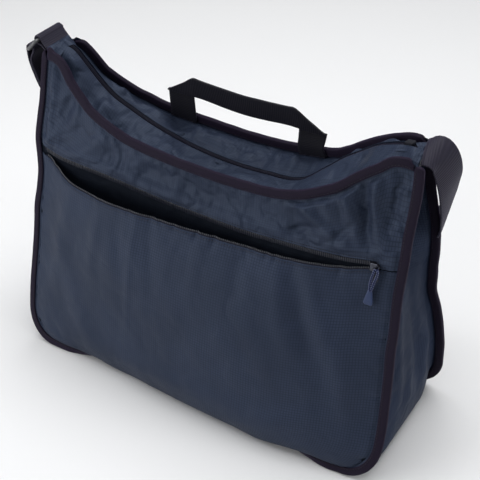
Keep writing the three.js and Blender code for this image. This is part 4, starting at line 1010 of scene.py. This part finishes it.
# section of the folded edging: far along the fin, off towards its outer face
def channelOutline():
    half, inner, wide = body["finHalf"], body["channelInner"], body["finWidth"]
    roundness = bindingDetail["round"]
    arc = np.radians(np.linspace(-90, 90, 9))
    outer = [(wide - roundness + roundness * math.cos(t), half * math.sin(t)) for t in arc]
    hollow = [(wide - roundness - 0.2 + 0.9 * math.cos(t), inner * math.sin(t)) for t in arc[::-2]]
    lipsOuter = [(0.9, -half + 0.35), (1.15, -half), (4.5, -half)]
    lipsInner = [(4.5, half), (1.15, half), (0.9, half - 0.35), (0.9, inner)]
    return np.array(lipsOuter + outer + lipsInner + hollow + [(0.9, -inner)])


def boundSeam(name, run, node):
    outline = channelOutline()
    root, fin, face = run
    place = runOf(root + fin * 8)
    seed = sum(map(ord, name))
    stretch = ripple(place, 0 * place, bindingDetail["waveLength"], seed) * bindingDetail["wave"]
    stretch = stretch + np.sin(place * (2 * math.pi / bindingDetail["pitch"])) * bindingDetail["nip"]
    sway = ripple(place, 0 * place, bindingDetail["swayLength"], seed + 1) * bindingDetail["sway"]
    share = np.clip(outline[:, :1] / body["finWidth"], 0, 1)
    ripples = (stretch[:, None] * fin)[:, None] * share + (sway[:, None] * face)[:, None] * share ** 2
    settle(carried(name, run, outline, "binding", ripples), "binding", node)
    for faceSide, mark in ((1, "outer"), (-1, "inner")):
        path = seamSpot(run, bindingDetail["stitchFar"], faceSide * (body["finHalf"] + 0.04))
        stitchRun(f"{name}_{mark}_stitches", path, face * faceSide, bindingDetail["pitch"], "binding")


cornerDetail = {
    "fan": 62, "fanSteps": 9, "fanShort": 0.5, "leftShort": 1.35, "rimFrom": 0.968, "rimShort": 0.52, "columns": 320,
}


# at each top corner the side edging turns upwards and its width changes
def fanned(run):
    parts = np.linspace(0, 1, cornerDetail["fanSteps"] + 1)[1:]
    blocks = [[], [], []]
    for end, order in ((0, -1), (-1, 1)):
        root, fin, face = (values[end] for values in run)
        upwards = np.cross(face, fin)
        upwards = upwards * np.sign(upwards[2])
        turns = np.radians(cornerDetail["fan"]) * parts[::order, None]
        small = cornerDetail["fanShort"] if root[0] > 0 or root[1] > 0 else cornerDetail["leftShort"]
        short = mixed(1, small, ease(parts[::order, None]))
        blocks[0].append(np.broadcast_to(root, (len(parts), 3)))
        blocks[1].append((fin * np.cos(turns) + upwards * np.sin(turns)) * short)
        blocks[2].append(np.broadcast_to(face, (len(parts), 3)))
    return tuple(np.concatenate([two[0], values, two[1]]) for two, values in zip(blocks, run))


def bindings():
    for wall in (front, back):
        boundSeam(f"{wall['name']}_side_edging", fanned(seamRun(wall)[0]), f"{wall['name']}_side_binding")
        us = np.linspace(-1, 1, cornerDetail["columns"])
        root, fin, face = rimFrame(wall, us)
        part = ease((np.abs(us) - cornerDetail["rimFrom"]) / (1 - cornerDetail["rimFrom"]))
        small = np.where((us > 0) | (wall is back), cornerDetail["rimShort"], cornerDetail["leftShort"])
        fin = fin * mixed(1, small, part)[:, None]
        boundSeam(f"{wall['name']}_rim_edging", (root, fin, face), f"{wall['name']}_rim_binding")


# top cloths, top zip
def zipSpot(x, off, drop):
    return spot(x, read(rimRows, "zipY", x) + off, read(rimRows, "zip", x) - drop)


def topRows(wall):
    held = heldRows(rimFrame(wall, np.linspace(-0.985, 0.985, topDetail["columns"])))
    return held, zipSpot(held[1][:, 0], wall["sign"] * body["zipHalf"], 0)


topDetail = {
    "columns": 260, "rows": 30, "fold": 1.4, "mirror": -0.94, "ripple": 0.5, "ripples": (17, 83),
    "pucker": 0.9, "puckers": (8, 9, 89), "depth": 26, "hemRound": 0.4, "hem": 6,
    "creases": (113, 40, (-195, 195, 0, 26), (6, 20), (2.5, 5), (0.5, 1.7)),
}


def topCloth(wall):
    held, edge = topRows(wall)
    rows = list(held)
    for part in np.linspace(0.03, 1, topDetail["rows"]):
        here = mixed(held[3], edge, part)
        for middle, middlePart, wide, rise in stripFolds:
            place = (here[:, 0] - middle * (topDetail["mirror"] if wall is back else 1)) / wide
            cross = (part - middlePart) / 0.3
            here[:, 2] += rise * topDetail["fold"] * np.exp(-place ** 2 - cross ** 2) * (1 - part ** 4)
        x, depth = here[:, 0], part * topDetail["depth"]
        fine = ripple(x, here[:, 1], *topDetail["ripples"]) * topDetail["ripple"]
        fine = fine + puckers(x, depth + 0 * x, *topDetail["puckers"]) * topDetail["pucker"]
        fine = fine + foldRise(creases(*topDetail["creases"]), x, depth)
        here[:, 2] += fine * ease(part / 0.2) * ease((1 - part) / 0.15)
        rows.append(here)
    inwards = unit(held[3] - edge)
    for turn in np.radians((60, 120, 180)):
        low = np.array([0, 0, -topDetail["hemRound"]]) * (1 - math.cos(turn))
        rows.append(edge + low - inwards * topDetail["hemRound"] * math.sin(turn))
    rows.append(rows[-1] + inwards * topDetail["hem"])
    name = f"top_cloth_{wall['name']}"
    piece = clothPiece(f"{name}_panel", np.stack(rows), "crumpled", flip=wall is back)
    settle(piece, "cloth", name)


endDetail = {
    "from": (0.966, 0.976, 0.985), "lift": 0.8, "columns": 61, "bulge": 0.8, "crumple": 1.1,
    "flat": {1: (0.042, 0.022), -1: (0.042, 0.029)},
    "root": {1: (331, 0.206, 1.0), -1: (331.3, 0.0, 2.9)},  # height, slope and half thickness of what it covers
    "topX": 199.6, "topEdge": 326.5, "topY": (-18.6, 19), "turnEdge": 326, "footY": (-18.2, 18.2),
}


# the short cloth that closes each end, over the sewn root of the strap or tab and down to the gusset
def endCloth(side, name):
    part = np.linspace(0, 1, endDetail["columns"])

    def section(u):
        points = []
        for wall in (front, back):
            seam = heldRows(rimFrame(wall, np.array([u])))[3][0]
            edge = zipSpot(seam[0], wall["sign"] * body["zipHalf"], 0)
            points += [seam, edge] if wall is front else [edge, seam]
        points = np.stack(points)
        share = (points[:, 1] - points[0, 1]) / (points[-1, 1] - points[0, 1])
        return np.stack([np.interp(part, share, points[:, k]) for k in range(3)], axis=-1)
    height, slope, half = endDetail["root"][side]
    y = np.linspace(*endDetail["topY"], endDetail["columns"])
    rootZ = height + slope * (y - 1.5)
    hem = ease(np.minimum(part, 1 - part) / 0.06)
    rows = [section(side * u) + np.array([0, 0, endDetail["lift"] * k / 2]) for k, u in enumerate(endDetail["from"])]
    top = spot(side * endDetail["topX"], y, mixed(endDetail["topEdge"], rootZ + half + 1.2, hem))
    for share in (0.2, 0.4, 0.6, 0.8, 1):
        here = mixed(rows[2], top, share)
        here[:, 2] += endDetail["bulge"] * math.sin(math.pi * share)
        rows.append(here)
    turned = ((200.9, half + 1.1), (201.6, half + 0.5), (201.6, -half - 0.4))
    rows += [spot(side * x, y, mixed(endDetail["turnEdge"], rootZ + over, hem)) for x, over in turned]
    footX = rootX(front, side, np.array(body["rimCorner"])) + side * 0.9
    rows.append(spot(footX, np.linspace(*endDetail["footY"], len(part)), body["rimCorner"] - 2))
    grid = np.stack(rows)
    step = np.arange(len(rows))[:, None]
    rough = ripple(grid[..., 1], step * 2.2, 7.5, 97) + 0.5 * ripple(grid[..., 1], step * 3.1, 3.6, 101)
    grid[..., 2] += endDetail["crumple"] * rough * ease(step / 3) * ease((9 - step) / 3)
    piece = settle(clothPiece(name, grid, "crumpled", flip=side < 0), "cloth")


topZipDetail = {"drop": 1.5, "outer": 1.8, "inner": 1.9, "tooth": (2.2, 0.95, 1.5), "pitch": 1.6, "apart": 0.55}


# under the top zip's line, square to it
def zipLow(x, drop):
    way = unit(zipSpot(x + 2, 0, 0) - zipSpot(x - 2, 0, 0))
    return zipSpot(x, 0, 0) - unit(spot(-way[:, 2], 0, way[:, 0])) * drop


# zip tape given by rows of points across its width
def zipTape(name, rows, node):
    grid = np.stack(rows)
    across = grid[-1] - grid[0]
    face = unit(np.cross(unit(np.gradient(grid[0], axis=0)), unit(across)))
    thick = np.full(len(rows), body["tapeThick"] / 2)
    thick[[0, -1]] *= 0.4
    lift = face * thick[:, None, None]
    loop = np.concatenate([grid + lift, (grid - lift)[::-1]]).swapaxes(0, 1)
    shares = np.linspace(0, 1, len(rows))
    places = np.concatenate([shares, shares[::-1]]) * np.linalg.norm(across, axis=-1).mean()
    settle(tube(name, loop, "zipTape", woven(places, runOf(grid[0]))), "zip_tape", node)


toothDetail = {
    "corners": ((-1, -0.8), (-0.7, -1), (1, -0.62), (1, 0.62), (-0.7, 1), (-1, 0.8)),
    "levels": ((-1, 0.82), (-0.55, 1), (0.55, 1), (1, 0.8)),
}


# one zip tooth after another along a path: across is the way the tooth reaches
def toothRow(name, path, across, outs, pitch, size, finish, *nodes):
    run = runOf(path)
    places = np.arange(pitch / 2, run[-1], pitch)
    middle, reach, out = (atPlaces(run, vectors, places) for vectors in (path, across, outs))
    reach, out = unit(reach), unit(out)
    half = np.array(size) / 2
    corners, levels = toothDetail["corners"], toothDetail["levels"]
    shape = np.array([(a * shrink, b * shrink, level) for level, shrink in levels for a, b in corners])
    ways = (reach, np.cross(reach, out), out)
    points = middle[:, None] + sum(way[:, None] * (shape[:, k:k + 1] * half[k]) for k, way in enumerate(ways))
    around, count = len(corners), len(shape)
    one = gridFaces(len(levels), around, loopAcross=True).tolist()
    one += [list(range(around))[::-1], list(range(count - around, count))]
    faces = [[corner + k * count for corner in face] for k in range(len(places)) for face in one]
    settle(makeMesh(name, points, faces, finish, closed=True, smooth=False), "zip_teeth", *nodes)


def topZip():
    for wall in (front, back):
        held, edge = topRows(wall)
        x, sign, drop = held[1][:, 0], wall["sign"], topZipDetail["drop"]
        way = unit(np.gradient(edge, axis=0))
        behind = unit(held[3] - edge)
        up = np.cross(way, behind)
        up = unit(np.where(up[:, 2:] < 0, -up, up))
        outer = edge - up * drop + behind * topZipDetail["outer"]
        inner = zipLow(x, drop) + np.array([0, sign * topZipDetail["inner"], 0])
        rows = [mixed(outer, inner, part) for part in np.linspace(0, 1, 5)]
        zipTape(f"top_tape_{wall['name']}", rows, f"top_zip_tape_{wall['name']}")
        path = zipLow(x, drop - 0.3) + np.array([0, sign * topZipDetail["apart"], 0])
        nodes = ("top_zip_teeth",) if wall is front else ()
        path = path + way * (topZipDetail["pitch"] / 2 if wall is front else 0)
        toothRow(f"top_teeth_{wall['name']}", path, spot(0 * x, -sign, 0), up, topZipDetail["pitch"],
                 topZipDetail["tooth"], "zipTape", *nodes)


# front zip
zipDetail = {
    "from": -193, "slider": 177, "sliderEnd": 186, "to": 194, "pitch": 2.1,
    "tooth": (1.9, 0.8, 1.0), "upperTooth": (4.8, 1.1, 1.0), "under": -1.3,
    "tapeTo": 0.972, "tapeAcross": (11, 8, 5.5, 3.5, 1.5, 0.6),
}


def upperSpot(u, above=0.0, out=0.2):
    return wallOut(front, u, mouth("upper", u) + above, body["tapeLift"] + out + 0 * u)


def lowerSpot(u, below):
    z, hem = mouth("lower", u) - below, pocketHem(u)
    part = np.minimum((z - baseEdge(front, u)) / (hem - baseEdge(front, u)), 1)
    fine = pocketFine(u, np.minimum(z, hem))
    return wallOut(front, u, z, pocketLift(u, part, z) + fine + zipDetail["under"])


def frontZip():
    us, across = np.linspace(-zipDetail["tapeTo"], zipDetail["tapeTo"], 300), zipDetail["tapeAcross"]
    zipTape("front_tape_upper", [upperSpot(us, above, 0) for above in across], "front_zip_tape_upper")
    zipTape("front_tape_lower", [lowerSpot(us, below) for below in across[::-1]], "front_zip_tape_lower")

    def teeth(where, path, way, size, finish):
        normal = wallNormal(front, u, mouth("upper", u))
        toothRow(f"front_teeth_{where}", path, spot(0, 0, way + 0 * u), normal, zipDetail["pitch"], size, finish,
                 f"front_zip_teeth_{where}")
    u = uAt(front, np.linspace(zipDetail["from"], zipDetail["slider"], 400), body["zipLevel"])
    teeth("upper", upperSpot(u, 2.2, 0.75), -1, zipDetail["upperTooth"], "teeth")
    # the lower teeth take the finish with painted glints
    teeth("lower", lowerSpot(u, 0.2), 1, zipDetail["tooth"], "lipTeethPaintedGlint")
    u = uAt(front, np.linspace(zipDetail["sliderEnd"], zipDetail["to"], 40), body["zipLevel"])
    teeth("closed", (upperSpot(u) + lowerSpot(u, 0)) / 2, 1, zipDetail["tooth"], "teeth")


# webbing
strapRows = (
    (200.15, 1.5, 331, 0, 0.97, 0.2, 3), (207, 3, 332.5, 0, 0.96, 0.27, 2),
    (213.5, 6, 329, 0.08, 0.94, 0.32, 1.5), (218.8, 9.5, 318.5, 0.16, 0.93, 0.33, 1.2),
    (221.8, 14, 302, 0.16, 0.95, 0.25, 1), (220.9, 20, 284, 0.03, 0.98, 0.17, 0.8),
    (218.3, 28, 264.5, -0.1, 0.99, 0.1, 0.6), (211.5, 43.5, 243, -0.24, 0.96, 0.06, 0.5),
    (200, 62, 220, -0.42, 0.9, 0.04, 0.5), (193.5, 76, 197, -0.5, 0.86, 0.03, 0.5),
    (190, 87, 173, -0.51, 0.86, 0.03, 0.5), (180, 104, 141, -0.47, 0.88, 0.01, 0.5),
    (168, 120, 104, -0.34, 0.94, 0, 0.5), (152, 131, 64, -0.2, 0.98, 0, 0.5),
    (131, 136, 29, -0.08, 1, 0, 0.4), (105, 138, 7.5, 0, 1, 0, 0.2), (76, 137, 1, 0, 1, 0, 0),
    (40, 135, 1, 0, 1, 0, 0), (0, 134, 1, 0, 1, 0, 0), (-40, 135, 1, 0, 1, 0, 0),
    (-76, 137, 1, 0, 1, 0, 0), (-106, 138, 7.5, 0, 1, 0, 0.3), (-133, 136, 28, 0.08, 1, 0, 0.5),
    (-156, 130, 63, 0.2, 0.98, 0, 0.6), (-175, 119, 106, 0.36, 0.93, 0, 0.6),
    (-189, 101, 152, 0.52, 0.85, 0.04, 0.6), (-200, 77, 194, 0.6, 0.8, 0.08, 0.6),
    (-208, 56, 224, 0.55, 0.82, 0.1, 0.6), (-215, 37, 248, 0.4, 0.9, 0.1, 0.4),
    (-219, 20, 268, 0.18, 0.97, 0.06, 0), (-221, 8, 286, 0.05, 1, 0.02, 0),
    (-223, 2.5, 302, 0, 1, 0, 0), (-225, 0, 316, 0, 1, 0, 0),
)
tabRows = (
    (-200.15, 333.2), (-204, 337), (-207.6, 341.5), (-209, 343.8), (-211.5, 345), (-214.2, 344),
    (-215.5, 341), (-214.3, 338), (-211.5, 336.6), (-208, 335.6), (-204.6, 332.8), (-200.15, 329.4),
)
ringDetail = {
    "barX": -222, "barZ": 329.5, "tabX": -211.5, "tabZ": 341,
    "wrap": 4.2, "bar": 1.9, "corner": 3.2, "halfWide": 22,
}
strapDetail = {"wide": 38, "tabWide": 36, "length": 1.16, "lap": 0.6, "wrapTurns": (190, 150, 115, 80, 45, 5, -25)}


# rows of numbers followed smoothly by their running length
def smoothRows(rows, step):
    rows = np.array(rows, float)
    run = runOf(rows[:, :3])
    columns = range(rows.shape[1])
    table = {"run": run, **{str(k): rows[:, k] for k in columns}}
    places = np.linspace(0, run[-1], int(run[-1] / step))
    return np.stack([read(table, str(k), places, "run") for k in columns], axis=-1)


def bandOutline(wide, thick, count=13):
    half, edge = wide / 2, thick / 2
    inner = np.linspace(-half + edge, half - edge, count)
    arc = np.radians((-60, -25, 25, 60))
    right = [(half - edge + edge * math.cos(t), edge * math.sin(t)) for t in arc]
    left = [(-half + edge - edge * math.cos(t), -edge * math.sin(t)) for t in arc]
    return np.array([(x, -edge) for x in inner] + right + [(x, edge) for x in inner[::-1]] + left)


def band(name, rows, wide, node):
    middle, across, curl = rows[:, :3], unit(rows[:, 3:6]), rows[:, 6]
    way = unit(np.gradient(middle, axis=0))
    across = unit(across - way * dot(across, way))
    face = unit(np.cross(way, across))
    outline = bandOutline(wide, body["webThick"])
    share = np.clip(outline[:, 0] / (wide / 2), -1, 1)
    ripples = face[:, None] * (curl[:, None] * (1 - share[None] ** 2))[..., None]
    piece = carried(name, (middle, across, face), outline, "webbing", ripples, outline[:, 0])
    return settle(piece, "webbing", node)


# round the ring's bar, then up along itself to where it is sewn down
def strap():
    lap = np.array(strapRows[-4:], float)
    way = unit(np.gradient(lap[:, :3], axis=0))
    off = unit(np.cross(way, lap[:, 3:6])) * (body["webThick"] + strapDetail["lap"])
    lap[:, :3] += np.where(off[:, :1] < 0, -off, off)
    turns = []
    for turn in np.radians(strapDetail["wrapTurns"]):
        x = ringDetail["barX"] + ringDetail["wrap"] * math.cos(turn)
        turns.append((x, 0, ringDetail["barZ"] + ringDetail["wrap"] * math.sin(turn), 0, 1, 0, 0))
    rows = np.concatenate([np.array(strapRows, float), np.array(turns), lap[::-1]])
    piece = band("shoulder_strap_webbing", smoothRows(rows, 3), strapDetail["wide"], "shoulder_strap")
    rows = [(x, 0.5, z, 0, 1, 0, 0) for x, z in tabRows]
    band("ring_tab_webbing", smoothRows(rows, 0.8), strapDetail["tabWide"], "strap_tab")


def ring():
    low, high = (np.array([ringDetail[f"{key}X"], 0.3, ringDetail[f"{key}Z"]]) for key in ("bar", "tab"))
    reach = float(np.linalg.norm(high - low))
    corner = ringDetail["corner"]
    half, deep = ringDetail["halfWide"] - corner, reach / 2 - corner
    path = []
    for signX, signY, first in ((1, 1, 0), (-1, 1, 90), (-1, -1, 180), (1, -1, 270)):
        for turn in np.radians(np.linspace(first, first + 90, 9)):
            path.append((signX * half + corner * math.cos(turn), signY * deep + corner * math.sin(turn)))
    path = np.array(path)
    upwards, across = unit(high - low), np.array([0, 1.0, 0])
    middle = (low + high) / 2 + path[:, :1] * across + path[:, 1:] * upwards
    way = unit(np.roll(middle, -1, axis=0) - np.roll(middle, 1, axis=0))
    face = np.cross(across, upwards)
    side = np.cross(way, face)
    turns = circle(14)
    radius = ringDetail["bar"]
    rings = [middle + side * radius * math.cos(t) + face * radius * 0.95 * math.sin(t) for t in turns]
    grid = np.stack(rings, axis=1)
    faces = gridFaces(len(grid) + 1, len(turns), loopAcross=True) % (len(grid) * len(turns))
    settle(makeMesh("moulded_ring", grid, faces.tolist(), "ring", closed=True), "ring", "strap_ring")


# right half of the arch from its folded end: lower edge and upper edge, x and z, then y of both
archRows = (
    (89.3, 297.2, 89.6, 298.6, 31.9, 31.7), (84.5, 297.2, 84.6, 301.4, 31.8, 31.1),
    (77, 297.2, 77, 306.4, 31.7, 30.2), (69, 297.3, 68, 312.6, 31.5, 29), (62.5, 297.6, 61.5, 317.8, 31.4, 27.8),
    (57.5, 298, 56.4, 320.8, 31.3, 27), (50, 297.9, 50, 320.3, 31.6, 27), (40, 297, 41, 319.6, 32, 27),
    (20, 295.2, 21, 318.6, 32, 27),
)
handleDetail = {
    "thick": 2.0, "footX": (59.5, 89.5), "footFar": (1.5, 10.6), "footTop": ((59.8, 297.6), (89.6, 298.6)),
    "footY": 33.6, "top": (0, 32, 294.4, 0, 27, 317.8),
}


# a band given by its two edges
def edgedBand(name, pairs, step=1.2):
    middle = (pairs[:, :3] + pairs[:, 3:]) / 2
    rows = smoothRows(np.concatenate([middle, pairs], axis=1), step)
    low, high = rows[:, 3:6], rows[:, 6:9]
    across = high - low
    face = unit(np.cross(across, unit(np.gradient(rows[:, :3], axis=0))))
    outline = bandOutline(1, 0.02)
    outline[:, 1] *= handleDetail["thick"] / 0.02
    spanned = outline[None, :, 0] * np.linalg.norm(across, axis=-1)[:, None]
    return carried(name, ((low + high) / 2, across, face), outline, "handle", across=spanned)


def carryHandle():
    off = -(body["finHalf"] + body["layerGap"] + body["webThick"] / 2)

    def foot(side, far):
        us = [uAt(back, np.array([side * x]), body["rimCorner"]) for x in handleDetail["footX"]]
        return np.concatenate([seamSpot(rimFrame(back, u), far, off)[0] for u in us])
    half = {}
    for side, mark in ((1, "right"), (-1, "left")):
        half[side] = [(side * a, c, b, side * d, g, e) for a, b, d, e, c, g in archRows]
        top = np.concatenate([(side * x, handleDetail["footY"], z) for x, z in handleDetail["footTop"]])
        low, high = (foot(side, far) for far in handleDetail["footFar"])
        rows = [low, high, mixed(high, top, 0.55), top]
        settle(edgedBand(f"handle_foot_{mark}", np.array(rows)), "webbing")
    pairs = np.array(half[1] + [handleDetail["top"]] + half[-1][::-1])
    settle(edgedBand("carry_handle_webbing", pairs), "webbing", "carry_handle")


# cord loop and moulded tab of the front slider
pullDetail = {
    "face": (0.05, -0.98, 0.19),
    "cord": ((184.2, -47.4, 229.5), (183, -48.9, 224), (182, -50, 217), (182, -51.1, 210), (182.9, -51.6, 207.6),
             (184.3, -51.1, 210.2), (185.3, -50, 216.5), (186.8, -48.8, 222.6), (187.1, -47.8, 228),
             (185.8, -47.4, 230)),
    "radius": 1.35,
    "lift": 1.2,
    "tabTop": (182.8, -51.4, 208.6),
    "tabFoot": (182.6, -54.1, 193.2),
    "tabHalf": (2.3, 2.6, 3.1, 3.7, 4.2, 4.5, 4.5),
    "tabThick": 1.9,
    "tabCorner": 1.7,
}


def pullCord():
    face = np.array(pullDetail["face"])
    rows = smoothRows(np.array(pullDetail["cord"]) + face * pullDetail["lift"], 0.5)
    way = unit(np.gradient(rows, axis=0))
    face = unit(face - way * (way @ face)[:, None])
    turns = circle(12)
    outline = np.stack([np.cos(turns), np.sin(turns)], axis=1) * pullDetail["radius"]
    settle(carried("pull_cord_loop", (rows, np.cross(way, face), face), outline, "cord"), "cord", "pull_cord")


# flat tab, wider below, with rounded corners and rims
def pullTab():
    top, foot = np.array(pullDetail["tabTop"]), np.array(pullDetail["tabFoot"])
    face = unit(np.array(pullDetail["face"]))
    way = unit(foot - top)
    side = np.cross(way, face)
    long, half = float(np.linalg.norm(foot - top)), pullDetail["tabHalf"]
    shares = np.concatenate([[0, 0.02, 0.06], np.linspace(0.14, 0.86, 9), [0.93, 0.97, 0.99, 1]])
    wide = np.interp(shares, np.linspace(0, 1, len(half)), half)
    corner = np.minimum(np.minimum(shares, 1 - shares) * long / pullDetail["tabCorner"], 1)
    wide = wide - pullDetail["tabCorner"] * (1 - np.sqrt(1 - (1 - corner) ** 2))
    turns = circle(24)
    rings = []
    for share, reach, full in zip(shares, wide, corner):
        middle = mixed(top, foot, share) + face * pullDetail["lift"]
        thick = pullDetail["tabThick"] / 2 * (0.45 + 0.55 * math.sqrt(full))
        edge = np.sign(np.cos(turns)) * np.abs(np.cos(turns)) ** 0.5 * reach
        rise = np.sign(np.sin(turns)) * np.abs(np.sin(turns)) ** 0.6 * thick
        rings.append(middle + side * edge[:, None] + face * rise[:, None])
    settle(tube("moulded_tab", np.stack(rings), "tab"), "pull_tab", "pull_tab")


# the sliders and the pull keep the solids' own shapes
def finishNodes():
    shown = {"front_zip_slider": "slider", "front_zip_pull": "slider", "top_zip_slider": "darkSlider"}
    for node, finish in shown.items():
        for holder in frame["nodes"][node].material_slots:
            holder.material = finishes[finish]


pocketCloth()
pocketWall()
upperCloth()
backCloth()
print("wall cloths made")
gussetCloth()
bindings()
print("gusset and edgings made")
topCloth(front)
topCloth(back)
endCloth(1, "end_cloth_right")
endCloth(-1, "end_cloth_left")
topZip()
frontZip()
print("zips made")
strap()
ring()
carryHandle()
pullCord()
pullTab()
finishNodes()
print("webbing and fittings made")

# floor and light
studio = {
    "floor": (0.83, 0.835, 0.845),
    "floorPatches": 1.02,
    "floorHalf": 6,
    "floorDrop": 0.0004,
    "world": (0.97, 0.985, 1.0),
    "worldStrength": 0.05,
    "aim": (0, 0, 0.15),
    "lights": {  # place, size and power
        "overhead": ((0, 0, 1.9), 2.0, 28),
        "behind": ((0, 0.8, 1.7), 1.6, 14.5),
        "left": ((-1.14, -0.66, 1.02), 0.9, 4.4),
        "frontLeft": ((-0.9, -1.28, 0.43), 0.9, 12),
        "right": ((1.45, 0, 0.78), 0.9, 6),
    },
}


def makeStudio():
    look = Look("floorFinish", {"Roughness": 0.9, "Specular IOR Level": 0.1})
    brighter = tuple(value * studio["floorPatches"] for value in studio["floor"])
    look.feed(color=look.blend(look.noise(1.2, 2), studio["floor"], brighter))
    half = studio["floorHalf"]
    mesh = bpy.data.meshes.new("floor")
    mesh.from_pydata([(-half, -half, 0), (half, -half, 0), (half, half, 0), (-half, half, 0)], [], [(0, 1, 2, 3)])
    mesh.materials.append(look.material)
    floor = bpy.data.objects.new("floor", mesh)
    floor.location.z = -studio["floorDrop"]
    scene.collection.objects.link(floor)
    world = bpy.data.worlds.new("studio")
    world.use_nodes = True
    sky = world.node_tree.nodes["Background"]
    sky.inputs["Color"].default_value = (*studio["world"], 1)
    sky.inputs["Strength"].default_value = studio["worldStrength"]
    scene.world = world
    for name, (place, size, power) in studio["lights"].items():
        data = bpy.data.lights.new(name, "AREA")
        data.size = size
        data.energy = power
        lamp = bpy.data.objects.new(name, data)
        lamp.location = place
        aim = Vector(studio["aim"]) - Vector(place)
        lamp.rotation_euler = aim.to_track_quat("-Z", "Y").to_euler()
        scene.collection.objects.link(lamp)


makeStudio()
print("studio made")

bpy.context.view_layer.update()
